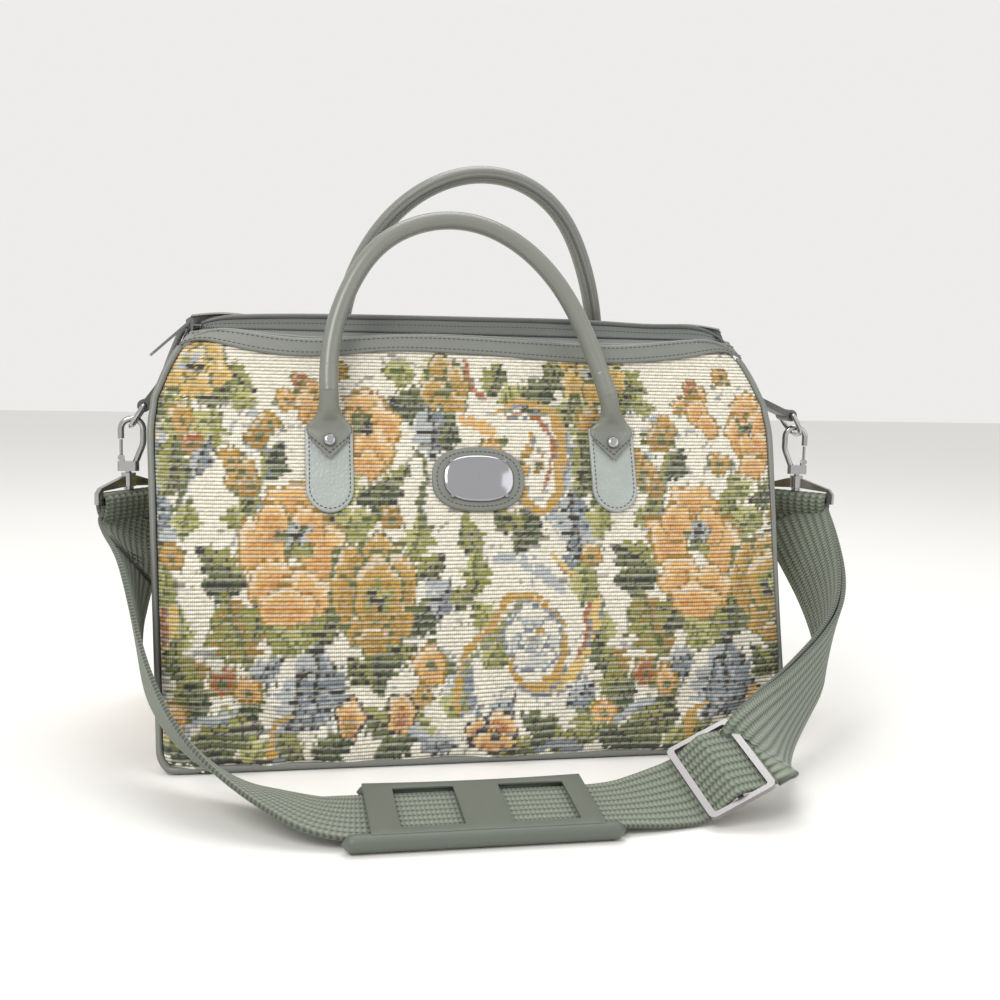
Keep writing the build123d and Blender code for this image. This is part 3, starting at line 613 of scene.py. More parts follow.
# Flowers of one repeat, each a list of petals: x, z, rx, rz, turn.
PEONY = ((-124, 158, 17, 15, 0.2), (-143, 134, 12, 19, 0.3), (-104, 131, 11, 19, -0.2),
         (-136, 112, 15, 14, 0.4),
         (-116, 106, 15, 13, -0.3), (-127, 98, 17, 11, 0.0), (-113, 147, 10, 11, 0.5),
         (-136, 149, 9, 10, 0.1))
GOLD_ROSE = ((-91, 108, 8, 21, 0.1), (-84, 124, 12, 10, 0.4), (-66, 130, 13, 10, -0.3),
             (-54, 112, 9, 18, 0.1),
             (-60, 90, 11, 15, 0.2), (-76, 84, 13, 12, -0.2), (-70, 108, 15, 20, 0.0), (-72, 76, 10, 7, 0.0))
TOP_ROSE = ((-202, 252, 9, 12, 0.2), (-190, 262, 14, 7, 0.0), (-174, 256, 9, 10, -0.2),
            (-172, 242, 9, 9, 0.3),
            (-186, 234, 13, 8, 0.0), (-201, 239, 9, 9, 0.4), (-187, 249, 10, 9, 0.0))
ORANGE_ROSE = ((-76, 224, 11, 9, 0.1), (-64, 212, 10, 13, 0.2), (-84, 205, 9, 13, 0.1),
               (-71, 196, 13, 12, -0.2),
               (-75, 186, 10, 8, 0.1), (-113, 221, 7, 11, 0.3), (-106, 212, 6, 7, 0.0))
GOLD_CLUSTER = ((-22, 246, 9, 10, 0.1), (-12, 238, 8, 12, 0.2), (-28, 232, 9, 9, 0.4),
                (-16, 226, 11, 8, -0.2))
PALE_ROSE = ((30, 88, 11, 7, 0.2), (20, 76, 7, 11, 0.1), (41, 76, 7, 12, -0.1), (31, 64, 12, 8, 0.0),
             (31, 76, 8, 7, 0.0))
LOW_ROSE = ((-6, 22, 9, 7, 0.3), (8, 24, 9, 7, -0.3), (2, 14, 12, 7, 0.0), (-88, 30, 8, 11, 0.1),
            (-56, 32, 9, 11, 0.2))
# Flowers: petals, light, deep and edge colours, and hearts as x, z, rx, rz, colour.
FLOWERS = ((TOP_ROSE, YELLOW, GOLD, MOSS, ((-187, 249, 7, 6, BLUE), (-184, 246, 5, 4, INK),
                                           (-190, 251, 3, 3, OLIVE))),
           (ORANGE_ROSE, PEACH, APRICOT, BRONZE, ((-77, 213, 6, 8, MOSS), (-74, 208, 3, 5, INK))),
           (PEONY, PEACH, APRICOT, BRONZE, ((-122, 140, 10, 10, MOSS), (-120, 143, 7, 7, BLUE),
                                            (-121, 142, 4, 5, INK), (-118, 132, 5, 6, OLIVE))),
           (GOLD_ROSE, GOLD, BRONZE, MOSS, ((-70, 105, 8, 10, OLIVE), (-70, 104, 5, 7, INK),
                                            (-68, 107, 3, 3, LIME))),
           (GOLD_CLUSTER, GOLD, BRONZE, MOSS, ((-18, 235, 4, 5, MOSS),)),
           (PALE_ROSE, CREAM, BLUE, SLATE, ((31, 75, 4, 4, LACE), (36, 82, 3, 3, GOLD))),
           (LOW_ROSE, PEACH, RUST, INK, ((2, 19, 4, 3, INK), (-88, 27, 3, 4, BRONZE), (-56, 29, 3, 4, RUST))))
# Buds of one repeat: x, z, size, colour.
BUDS = ((-145, 204, 10, BRONZE), (-138, 212, 7, GOLD), (-157, 181, 11, GOLD), (-150, 172, 8, BRONZE),
        (-163, 190, 7, GOLD), (-37, 62, 13, PEACH), (-126, 226, 7, PEACH), (-110, 232, 6, PEACH),
        (-118, 238, 6, RUST), (-166, 54, 10, RUST), (-152, 48, 9, PEACH), (-101, 188, 8, GOLD),
        (-60, 152, 7, BRONZE), (10, 196, 9, PEACH), (38, 188, 8, CREAM), (78, 214, 9, GOLD),
        (84, 200, 7, RUST), (-92, 246, 7, GOLD), (76, 32, 9, PEACH), (-44, 44, 8, GOLD), (-198, 128, 8, GOLD))


LACE_ARCS = 150


def lace(dyer, shift):
    """Pale scalloped lines of the ground between the flowers."""
    local = np.random.default_rng(3)
    for k in range(LACE_ARCS):
        cx, cz = local.uniform(-203, 68), local.uniform(0, 272)
        r, a = local.uniform(4, 10), local.uniform(0.2, 0.9)
        arc = [(cx + shift + r * cos(a + t * 0.5), cz + 0.8 * r * sin(a + t * 0.5)) for t in range(6)]
        dyer.stroke(arc, 2.3, LACE if k % 3 else 0.5 * LACE + 0.5 * BLUE, 0.25)


def dye_cloth(x, z, offset):
    """The pattern's colour at each cell of the cloth."""
    dyer = Dyer(x + offset, z)
    low = int(np.floor((dyer.x.min() - REPEAT_LEFT) / REPEAT))
    high = int(np.ceil((dyer.x.max() + REPEAT_RIGHT) / REPEAT)) + 1
    shifts = [k * REPEAT for k in range(low, high)]
    for shift in shifts:
        lace(dyer, shift)
    for shift in shifts:
        for wide, colour, line in STROKES[:UNDER_STROKES]:
            dyer.stroke([(px + shift, pz) for px, pz in line], wide, colour, 0.25)
        for cx, cz, long, turn, tone in LEAVES:
            dyer.leaf(cx + shift, cz, long, turn, tone)
        for wide, colour, line in STROKES[UNDER_STROKES:]:
            dyer.stroke([(px + shift + 1, pz - 1.5) for px, pz in line], wide * 1.25, SLATE, 0.05)
            dyer.stroke([(px + shift, pz) for px, pz in line], wide, colour, 0.45)
    for shift in shifts:
        for cx, cz, size, colour in BUDS:
            dyer.blob(cx + shift, cz - 1, size, size * 0.95, MOSS, 4, 0.3, 0.15)
            deep = 0.6 * colour + 0.4 * RUST
            dyer.petal(cx + shift, cz, size * 0.7, size * 0.8, 0.4, colour, deep, BRONZE)
            dyer.blob(cx + shift + 1, cz - 2, size * 0.28, size * 0.3, MOSS)
        for petals, light, deep, edge, hearts in FLOWERS:
            for cx, cz, rx, rz, turn in petals:
                dyer.petal(cx + shift, cz, rx, rz, turn, light, deep, edge)
            for cx, cz, rx, rz, colour in hearts:
                dyer.blob(cx + shift, cz, rx, rz, colour, 5, 0.25, 0.4)
    return dyer.rgb


def weave(x, s, row_phase, offset):
    """Colours of a ribbed cloth, with painted shade in its grooves: x and s in mm on the flat cloth,
    row_phase 0 in each groove.
    """
    rib_index = np.floor(s / RIB_PITCH + 1e-6)
    cell_x = np.round(x / THREAD_PITCH) * THREAD_PITCH
    rgb = dye_cloth(cell_x, rib_index * RIB_PITCH + RIB_PITCH / 2, offset)
    jitter = np.random.default_rng(5).random(x.shape)
    swap = (rib_index % 2 == 1) & (np.abs(rgb - CREAM).sum(-1) > 0.05) & (jitter < 0.8)
    rgb = np.where(swap[..., None], 0.34 * CREAM + 0.66 * rgb, rgb)
    rgb = rgb * (0.80 + 0.36 * jitter[..., None])
    # Painted shade: the groove rows between the ribs are darkened to about a third, with a little brown mixed
    # in.
    groove = rgb * 0.36 + srgb(92, 80, 60) * 0.12
    return np.where((row_phase == 0)[..., None], groove, rgb)


# Rows of the mesh for each rib of the cloth, the first of them in the groove.
ROWS_PER_RIB = 3
ROW_HEIGHT = np.array([-0.95, -0.1, -0.15])
PANEL_COLUMNS, GUSSET_COLUMNS = 264, 56
EDGE_REACH, EDGE_DROP, TURN_IN = 5.0, 2.2, 2.4
# Where each cloth starts in the pattern, so that no two walls match.
REAR_OFFSET, GUSSET_OFFSET = 60.0, 130.0
PATTERN_TALL = 268


def ringed(values):
    """A grid of values with its border repeated once."""
    return np.pad(values, ((1, 1), (1, 1)), mode="edge")


def make_panel(side, name):
    """A ribbed, slack panel that follows the bag's face, with a turned-in edge."""
    top = (FRONT_TOP if side < 0 else REAR_TOP) - 1.5
    z_dense = np.linspace(0.6, top, 800)
    y_dense = cloth_y(np.zeros_like(z_dense), z_dense, side)
    run = np.r_[0, np.cumsum(np.hypot(np.diff(z_dense), np.diff(y_dense)))]
    ribs = int(run[-1] / RIB_PITCH)
    s = np.arange(ribs * ROWS_PER_RIB + 1) * RIB_PITCH / ROWS_PER_RIB
    z_row = np.interp(s, run, z_dense)
    wide = half_width(z_row, side) - 1.6
    share = np.linspace(-1, 1, PANEL_COLUMNS)
    x = share[None, :] * wide[:, None]
    z = np.broadcast_to(z_row[:, None], x.shape)
    y = cloth_y(x, z, side) + folds(x, z, side)
    phase = np.arange(len(s)) % ROWS_PER_RIB
    lift = ROW_HEIGHT[phase][:, None]
    edge = np.clip((1 - np.abs(share)) * wide[:, None] / EDGE_REACH, 0, 1)
    y = y + lift - EDGE_DROP * (1 - edge) ** 2
    tilt = np.interp(z_row, z_dense, np.gradient(y_dense, z_dense))[:, None]
    z = z - lift * tilt / (1 + tilt ** 2) * 0.5
    grid = np.stack([x, side * y, z], -1)
    inward = np.array([0, side * TURN_IN, 0])
    grid = np.concatenate([grid[:, :1] - inward, grid, grid[:, -1:] - inward], 1)
    grid = np.concatenate([grid[:1] - inward, grid, grid[-1:] - inward], 0)
    obj = quad_mesh(name, grid * MM, flip=side > 0)
    flat_x, flat_s = ringed(side * -x), ringed(np.broadcast_to(s[:, None], x.shape))
    row_phase = ringed(np.broadcast_to(phase[:, None], x.shape))
    look_z = ringed(np.broadcast_to(z_row[:, None], x.shape))
    set_colour(obj, weave(flat_x, look_z, row_phase, 0.0 if side < 0 else REAR_OFFSET))
    set_uv(obj, np.stack([flat_x, flat_s], -1))
    finish_piece(obj, tapestry, "bag", [name.replace("_cloth", "")])


def side_path(side_gap, z_top, count, side=-1):
    """The gusset's line in front view, from the left top down, under and up the right side."""
    foot = FOOT_ROUND
    left = [(-half_width(z, side, side_gap), z) for z in np.linspace(z_top, foot, 60)]
    x0 = left[-1][0] + foot
    bend = [(x0 - foot * cos(a), foot - foot * sin(a)) for a in np.linspace(0.1, pi / 2, 10)]
    base = [(x, 0.0) for x in np.linspace(x0 + 8, -x0 - 8, 60)]
    path = left + [(px, max(pz, -side_gap)) for px, pz in bend] + base
    path += [(-px, pz) for px, pz in (left + [(px, max(pz, 0)) for px, pz in bend])[::-1]]
    p = np.array([(float(a), float(b)) for a, b in path])
    d = np.r_[0, np.cumsum(np.hypot(*np.diff(p, axis=0).T))]
    want = np.linspace(0, d[-1], count)
    return np.stack([np.interp(want, d, p[:, 0]), np.interp(want, d, p[:, 1])], 1), d[-1]


GUSSET_TOP, GUSSET_GAP, SEAM_GAP = 182.0, -0.4, 3.2
RIGHT_BELLY, LEFT_BELLY = -6.5, 3.5


def make_gusset():
    """The ribbed cloth round both sides and the base, bulging at the right and sunk at the left."""
    _, total = side_path(GUSSET_GAP, GUSSET_TOP, 10)
    count = int(total / RIB_PITCH) * ROWS_PER_RIB + 1
    line, total = side_path(GUSSET_GAP, GUSSET_TOP, count)
    phase = np.arange(count) % ROWS_PER_RIB
    t = unit(np.gradient(line, axis=0))
    inward = np.stack([-t[:, 1], t[:, 0]], 1)
    front = -(seam_reach(line[:, 1], -1) - SEAM_GAP)
    rear = seam_reach(line[:, 1], 1) - SEAM_GAP
    share = np.linspace(0, 1, GUSSET_COLUMNS)
    y = front[:, None] + (rear - front)[:, None] * share[None, :]
    on_side = np.clip((line[:, 1] - 10) / 40, 0, 1) * np.clip((190 - line[:, 1]) / 30, 0, 1)
    belly = np.where(line[:, 0] > 0, RIGHT_BELLY, LEFT_BELLY)
    sag = (belly * on_side)[:, None] * np.sin(pi * share[None, :]) ** 0.9
    sag += np.where(line[:, 1] < 4, 0.3, 0)[:, None]
    depth = -ROW_HEIGHT[phase][:, None] * 0.9 + sag
    x = line[:, :1] + inward[:, :1] * depth
    z = np.maximum(line[:, 1:] + inward[:, 1:] * depth, 0.05)
    grid = np.stack([x, y, z], -1)
    obj = quad_mesh("gusset_cloth", grid * MM, flip=True)
    s = np.linspace(0, total, count)
    flat_s = np.broadcast_to(s[:, None], y.shape)
    row_phase = np.broadcast_to(phase[:, None], y.shape)
    set_colour(obj, weave(y, flat_s % PATTERN_TALL, row_phase, GUSSET_OFFSET))
    set_uv(obj, np.stack([y, flat_s], -1))
    finish_piece(obj, tapestry, "bag", ["gusset"])


# Stitches
def stitch_tree():
    """Geometry nodes: a small capsule every pitch along a line."""
    tree = bpy.data.node_groups.new("stitches", "GeometryNodeTree")
    face = tree.interface
    face.new_socket("Geometry", in_out="INPUT", socket_type="NodeSocketGeometry")
    for name, value in (("Pitch", 0.003), ("Length", 0.002), ("Radius", 0.0004)):
        face.new_socket(name, in_out="INPUT", socket_type="NodeSocketFloat").default_value = value
    face.new_socket("Material", in_out="INPUT", socket_type="NodeSocketMaterial")
    face.new_socket("Geometry", in_out="OUTPUT", socket_type="NodeSocketGeometry")
    source, out = node(tree, "NodeGroupInput"), node(tree, "NodeGroupOutput")
    line = node(tree, "GeometryNodeMeshToCurve")
    spots = node(tree, "GeometryNodeCurveToPoints", mode="LENGTH")
    capsule = node(tree, "GeometryNodeMeshUVSphere", Segments=6, Rings=4, Radius=1.0)
    half = math_node(tree, "MULTIPLY", source.outputs["Length"], 0.5)
    scale = node(tree, "ShaderNodeCombineXYZ")
    place = node(tree, "GeometryNodeInstanceOnPoints")
    turn = node(tree, "FunctionNodeAlignEulerToVector", axis="Z")
    real = node(tree, "GeometryNodeRealizeInstances")
    paint = node(tree, "GeometryNodeSetMaterial")
    for end, start in ((source.outputs["Geometry"], line.inputs[0]),
                       (line.outputs[0], spots.inputs[0]),
                       (source.outputs["Pitch"], spots.inputs["Length"]),
                       (source.outputs["Radius"], scale.inputs[0]),
                       (source.outputs["Radius"], scale.inputs[1]),
                       (half, scale.inputs[2]),
                       (spots.outputs["Tangent"], turn.inputs["Vector"]),
                       (spots.outputs["Points"], place.inputs["Points"]),
                       (capsule.outputs["Mesh"], place.inputs["Instance"]),
                       (turn.outputs[0], place.inputs["Rotation"]),
                       (scale.outputs[0], place.inputs["Scale"]),
                       (place.outputs[0], real.inputs[0]),
                       (real.outputs[0], paint.inputs[0]),
                       (source.outputs["Material"], paint.inputs["Material"]),
                       (paint.outputs[0], out.inputs[0])):
        tree.links.new(end, start)
    return tree


STITCHES = stitch_tree()


def stitch(name, lines, pitch=3.2, length=2.4, radius=0.38, thread=thread_dark, body="bag"):
    """Stitches along each line of points, with all measures in mm."""
    verts, edges = [], []
    for line in lines:
        first = len(verts)
        verts += [tuple(p) for p in np.asarray(line, float) * MM]
        edges += [(k, k + 1) for k in range(first, len(verts) - 1)]
    mesh = bpy.data.meshes.new(name + "_line")
    mesh.from_pydata(verts, edges, [])
    carrier = new_object(name + "_line", mesh)
    mod = carrier.modifiers.new("stitches", "NODES")
    mod.node_group = STITCHES
    ids = {i.name: i.identifier for i in STITCHES.interface.items_tree if i.in_out == "INPUT"}
    mod[ids["Pitch"]], mod[ids["Length"]], mod[ids["Radius"]] = pitch * MM, length * MM, radius * MM
    mod[ids["Material"]] = thread
    result = final_mesh(carrier)
    bpy.data.objects.remove(carrier)
    shade_smooth(result)
    finish_piece(new_object(name, result), thread, body)


def on_face(points, side, lift):
    """Front-view points (x, z) put on a panel's plain face, lifted off it by lift mm."""
    p = np.asarray(points, float)
    x, z = p[:, 0], p[:, 1]
    y = cloth_y(x, z, side)
    slope = (cloth_y(x, z + 1, side) - cloth_y(x, z - 1, side)) / 2
    size = np.sqrt(1 + slope ** 2)
    return np.stack([x, side * (y + lift / size), z - lift * slope / size], 1)


# Leather trim
PIPING_RADIUS, PIPING_LOW = 2.3, 2.65
PIPING_TOP = {-1: 258.0, 1: 270.0}


def make_piping():
    """A roll round each wall's seam, just clear of the table."""
    for side, top in PIPING_TOP.items():
        name = PLACE[side] + "_piping"
        line, _ = side_path(1.2, top, 420, side)
        y = seam_reach(np.maximum(line[:, 1], 0.0), side) - 0.9
        points = np.stack([line[:, 0], side * y, np.maximum(line[:, 1] + 0.3, PIPING_LOW)], 1)
        roll = tube(name + "_roll", points, PIPING_RADIUS, around=12)
        finish_piece(roll, leather, "bag", [name])


# Lower and upper edges of the front leather band, seen from the front.
BAND_LOW = ((-196, 259), (-187, 262.5), (-168, 261), (-149, 257), (-102, 254.5), (-61, 258.5), (-19, 258.5),
            (19, 257), (60, 254.5), (100, 254), (135, 256.5), (165, 261), (187, 263), (196, 259))
BAND_HIGH = ((-188, 268.5), (-168, 270.5), (-135, 267.5), (-102, 266), (-60, 269), (-20, 270), (30, 268.5),
             (66, 267.5), (100, 266.5), (135, 269.5), (168, 271.5), (188, 269))


# How much higher the two edges are on the rear band.
BAND_RISE = {-1: (0.0, 0.0), 1: (8.5, 11.5)}
# The band's section: share of the way up and height over the wall. Then its two seams.
BAND_SECTION = ((0, 0.2), (0, 1.6), (0.08, 2.0), (0.35, 1.9), (0.7, 1.9), (0.92, 2.1), (1.0, 1.5),
                (1.0, -1.4))
BAND_SEAMS, SEAM_HEIGHT = (0.2, 0.8), 2.05


def make_band(side):
    name = PLACE[side] + "_zip_band"
    low, high = (smooth_line([(x, z + rise) for x, z in edge], 240)
                 for edge, rise in zip((BAND_LOW, BAND_HIGH), BAND_RISE[side]))
    rows = [on_face(low * (1 - share) + high * share, side, out) for share, out in BAND_SECTION]
    obj = quad_mesh(name + "_leather", np.array(rows) * MM, flip=side > 0)
    finish_piece(obj, leather, "bag", [name])
    seams = [on_face(low * (1 - share) + high * share, side, SEAM_HEIGHT) for share in BAND_SEAMS]
    stitch(name + "_stitches", seams)


def make_rims():
    for side in (-1, 1):
        make_band(side)
    for name, line, radius, around, material in (("rear_rim_roll", REAR_RIM, 2.1, 12, leather_dark),
                                                 ("front_rim_roll", FRONT_RIM, 1.3, 10, leather)):
        roll = tube(name, smooth_line(line, 160), radius, hint=(0, 0, 1), around=around)
        finish_piece(roll, material, "bag")


COIL_Y, COIL_Z = 1.5, 271.4
# The rolled edges at the zip's mouth.
REAR_RIM = ((-190, 14, 269), (-179, 10.5, 275.5), (-156, 9, 279.5), (-94, 8.5, 281.5), (26, 8, 282.5),
            (101, 8.5, 282), (139, 9, 281), (169, 9.5, 280.5), (184, 11, 276), (194, 14, 269))
FRONT_RIM = ((-190, -12.5, 264), (-180, -11.8, 268.5), (-150, -11, 269.5), (-102, -11.4, 266.5),
             (-50, -10.6, 269.6), (0, -10.6, 270), (60, -11, 268), (100, -11.2, 267), (150, -11, 270),
             (180, -11.8, 269.5), (190, -12.5, 264.5))
RIM = {-1: FRONT_RIM, 1: REAR_RIM}
TAPE_THICK = 0.7


def make_zip():
    """Slanting tapes from both rims down to the coil, which has a loop every 1.6 mm."""
    x = np.linspace(-183, 184, 160)
    dip = 0.5 * np.sin(x / 40) * np.sin(x / 17)
    for side, rim in RIM.items():
        name = PLACE[side] + "_zip_tape"
        edge = smooth_line(rim, 200)
        reach_y, reach_z = np.interp(x, edge[:, 0], edge[:, 1]), np.interp(x, edge[:, 0], edge[:, 2])
        rows = []
        for share in np.linspace(0, 1, 7):
            y = (COIL_Y + side * 1.6) * (1 - share) + (reach_y - side * 1.2) * share
            z = COIL_Z * (1 - share) + (reach_z - 0.6) * share - 1.1 * sin(pi * share) + dip * share
            rows.append(np.stack([x, y, z], 1))
        top = np.array(rows)
        grid = np.concatenate([top, top[::-1] - [0, 0, TAPE_THICK]], 0)
        cloth = quad_mesh(name + "_cloth", grid * MM, close_v=True, flip=side < 0)
        finish_piece(cloth, zip_cloth, "bag", [name])
        row = top[4] + [0, 0, 0.15]
        stitch(name + "_stitches", [row], pitch=2.8, length=2.0, radius=0.3)
        teeth = np.stack([x, np.full_like(x, COIL_Y + side * 0.95), np.full_like(x, COIL_Z + 0.6)], 1)
        stitch(PLACE[side] + "_coil", [teeth], pitch=1.6, length=0.95, radius=1.15, thread=coil_nylon)


# The stitched tabs that hold the handles.
TAB_WIDE, TAB_LONG, TAB_TOP = 31.0, 54.0, 209.0
TAB_SEAM = 2.4
FEET = {-1: (-99.0, 92.0), 1: (-88.0, 104.0)}
TAB_RISE = {-1: 0.0, 1: 15.5}
HANDS = ("left", "right")


PATCH_INNER, PATCH_OUTER = 0.1, 2.3
# A patch's rounded edge: inset from the outline and height over the wall.
PATCH_EDGE = ((0.0, PATCH_INNER), (0.0, PATCH_INNER + 0.55 * (PATCH_OUTER - PATCH_INNER)),
              (0.35, PATCH_OUTER - 0.15), (1.0, PATCH_OUTER))


def slab(name, outline, side):
    """A leather patch with a softly rounded edge, from its front-view outline."""
    outline = np.asarray(outline, float)
    centre = outline.mean(0)
    direction = outline - centre
    reach = np.linalg.norm(direction, axis=1)[:, None]
    rows = [on_face(centre + direction * (1 - inset / reach), side, lift) for inset, lift in PATCH_EDGE]
    rows += [on_face(centre + direction * share, side, PATCH_OUTER) for share in np.linspace(0.75, 0.01, 5)]
    return quad_mesh(name, np.array(rows) * MM, close_u=True, flip=side < 0)


def tombstone(x, top, inset=0.0, closed=True):
    """A tab's outline, or its seam, which is open at the top."""
    w = TAB_WIDE / 2 - inset
    low = top - TAB_LONG + TAB_WIDE / 2
    arc = [(x + w * cos(a), low + w * sin(a)) for a in np.linspace(0, -pi, 28)]
    left = [(x - w, z) for z in np.linspace(low, top - inset, 12)[1:]]
    right = [(x + w, z) for z in np.linspace(top - inset, low, 12)[:-1]]
    if closed:
        return right + arc + left + [(x + k, top - inset) for k in np.linspace(-w, w, 10)[1:-1]]
    return right + arc + left


def make_tabs():
    for side in (-1, 1):
        top = TAB_TOP + TAB_RISE[side]
        for x, hand in zip(FEET[side], HANDS):
            name = f"{PLACE[side]}_{hand}_handle_tab"
            patch = slab(name + "_leather", tombstone(x, top), side)
            finish_piece(patch, leather_silver, "bag", [name])
            seam = on_face(tombstone(x, top, TAB_SEAM, closed=False), side, 2.35)
            vee = on_face([(x - 11.5, top - 8.5), (x, top - 17.5), (x + 11.5, top - 8.5)], side, 5.35)
            stitch(name + "_stitches", [seam, densify(vee)], pitch=3.0, length=2.2, radius=0.42)


def densify(points, step=1.0):
    """More points on a line with straight runs, about a step apart."""
    out = []
    for a, b in zip(points, points[1:]):
        n = max(2, int(np.linalg.norm(b - a) / step))
        out += [a + (b - a) * k / n for k in range(n)]
    return np.array(out + [points[-1]])


# Middle lines of the grips: x from the left foot and distance from it in the plane that they lean in.
FRONT_ARCH = ((0, 34), (15, 88), (37, 118), (69, 134), (101, 134), (133, 118), (159, 88), (179, 42))
REAR_ARCH = ((1, 36), (13, 84), (31, 114), (58, 138), (92, 150), (126, 146), (155, 126), (174, 94), (187, 50))
# Where each grip's plane starts, in y and z, and how far it leans, in degrees.
NECK = {-1: (-52.0, 219.0, 18.0), 1: (47.0, 236.0, 12.0)}
GRIP_RADIUS = 6.1


def arch_line(side, count):
    """The grip's middle line, in the plane that it leans in."""
    feet, (y, z, lean) = FEET[side], NECK[side]
    arch = FRONT_ARCH if side < 0 else REAR_ARCH
    flat = [(feet[0], 0)] + [(feet[0] + a, b) for a, b in arch] + [(feet[1], 0)]
    flat = smooth_line(flat, count)
    tilt = radians(lean)
    return np.stack([flat[:, 0], y - side * sin(tilt) * flat[:, 1], z + cos(tilt) * flat[:, 1]], 1)


def make_handles():
    """Each grip with the ridge, lip and stitches of the seam on its inner face, and its two necks."""
    for side in (-1, 1):
        body, name = PLACE[side] + "_grip", PLACE[side] + "_handle"
        tilt = radians(NECK[side][2])
        out = np.array([0, side * cos(tilt), sin(tilt)])
        keep = arch_line(side, 260)[10:-10]
        _, in_plane, _ = frames_along(keep, np.cross(np.gradient(keep, axis=0), out))
        sign = np.sign(np.sum(in_plane * (keep - keep.mean(0)), 1)).mean()
        outward = in_plane * (1 if sign > 0 else -1)
        grip = tube(name + "_roll", keep, GRIP_RADIUS, hint=out, around=24, cap=False)
        finish_piece(grip, leather_gloss, body, [name])
        seam_line = keep - out * 4.6 - outward * 0.8
        # The seam's ridge is dark leather: painted shade of the seam's groove beside the lip.
        ridge = tube(name + "_seam_ridge", seam_line[14:-14], 2.1, hint=out, around=10, flat=0.7)
        finish_piece(ridge, leather_dark, body)
        lip_line = keep - out * 3.6 + outward * 2.6
        lip = tube(name + "_seam_lip", lip_line[14:-14], 2.6, hint=out, around=10)
        finish_piece(lip, leather, body)
        thread = seam_line - out * 1.5 + outward * 0.2
        stitch(name + "_stitches", [thread[18:-18]], pitch=4.2, length=2.8, radius=0.35, body=body)
        for x, part, hand in zip(FEET[side], (keep[:14], keep[::-1][:14]), HANDS):
            make_neck(side, x, part, hand)


# A neck's half width and half thickness, over the share of the way up it.
NECK_WIDE = ((0, 0.05, 0.10, 0.18, 0.26, 0.34, 0.44, 0.55, 1),
             (5.0, 9.0, 12.0, 14.8, 14.6, 10.4, 7.3, 6.4, 6.15))
NECK_THICK = ((0, 0.12, 0.22, 0.30, 0.40, 0.50, 1), (1.2, 1.8, 2.3, 3.4, 5.2, 6.1, 6.12))
NECK_POINTS, BLEND_START, BLEND_END = 40, 12, 34


def make_neck(side, x, grip_part, hand):
    """The handle's end: a tube that opens out and lies down on its tab."""
    start = on_face([(x, z + TAB_RISE[side]) for z in (196, 201, 206.5, 211.5)], side, 3.4)
    start[3] += (0, side * 1.6, 0)
    line = smooth_line(np.vstack([start, grip_part[2:7:2], grip_part[9::3]]), NECK_POINTS)
    share = np.linspace(0, 1, NECK_POINTS)
    wide, thick = np.interp(share, *NECK_WIDE), np.interp(share, *NECK_THICK)
    obj = tube(f"{PLACE[side]}_{hand}_neck", line, wide, hint=(1, 0, 0), around=24, flat=thick / wide)
    obj.data.materials.append(leather_gloss)
    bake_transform(obj)


# The oval patch and its plate: middle, half sizes, squareness and the plate's section.
BADGE_MIDDLE = np.array([-1.5, 176.0])
PATCH_HALF, PATCH_SEAM, PLATE_HALF = (31, 20.4), (27.6, 17.4), (23.4, 14.6)
OVAL_POWER = 2 / 2.5
PLATE_SECTION = ((1.0, 2.3), (1.0, 3.6), (0.965, 4.3), (0.9, 4.5), (0.7, 5.2), (0.5, 5.7), (0.25, 6.0),
                 (0.01, 6.1))


def badge_oval(half_sizes):
    angle = np.linspace(0, 2 * pi, 72, endpoint=False)
    turn = np.stack([np.cos(angle), np.sin(angle)], 1)
    return BADGE_MIDDLE + np.array(half_sizes) * np.sign(turn) * np.abs(turn) ** OVAL_POWER


def make_badge():
    patch = slab("badge_patch_leather", badge_oval(PATCH_HALF), -1)
    finish_piece(patch, leather, "bag", ["badge_patch"])
    ring = on_face(badge_oval(PATCH_SEAM), -1, 2.4)
    stitch("badge_stitches", [np.vstack([ring, ring[:1]])], pitch=3.0, length=2.1, radius=0.4)
    rim = badge_oval(PLATE_HALF) - BADGE_MIDDLE
    rows = [on_face(BADGE_MIDDLE + rim * share, -1, lift) for share, lift in PLATE_SECTION]
    plate = quad_mesh("badge_dome", np.array(rows) * MM, close_u=True, flip=True)
    finish_piece(plate, badge_metal, "bag", ["badge_plate"])


# Shoulder strap
STRAP_HALF, STRAP_THICK, LAYER_THICK = 25.0, 2.7, 2.6
PAD_MIDDLE, PAD_ACROSS = np.array([-27, -213, 8.2]), np.array([0, 0.994, 0.11])
SLIDE = np.array([115, -211, 26.4])
SLIDE_ALONG, SLIDE_ACROSS = unit(np.array([[0.88, -0.02, 0.45], [-0.18, 0.90, 0.39]]))
SLIDE_OUT = np.cross(SLIDE_ALONG, SLIDE_ACROSS)
# The strap's way over and under the slide's bars: steps along the slide and out of it.
SLIDE_WEAVE = ((-27, -3.2), (-21.6, -3.4), (-16.4, -3.4), (-2.4, 3.5), (2.4, 3.5), (16.4, -3.4), (21.6, -3.4),
               (27, -3.2))
LEFT_FOOT, RIGHT_FOOT = np.array([-229.5, 0, 157]), np.array([249.2, -1, 157])
LEFT_ACROSS = np.array([cos(radians(52)), sin(radians(52)), 0])
RIGHT_ACROSS = np.array([cos(radians(-50)), sin(radians(-50)), 0])
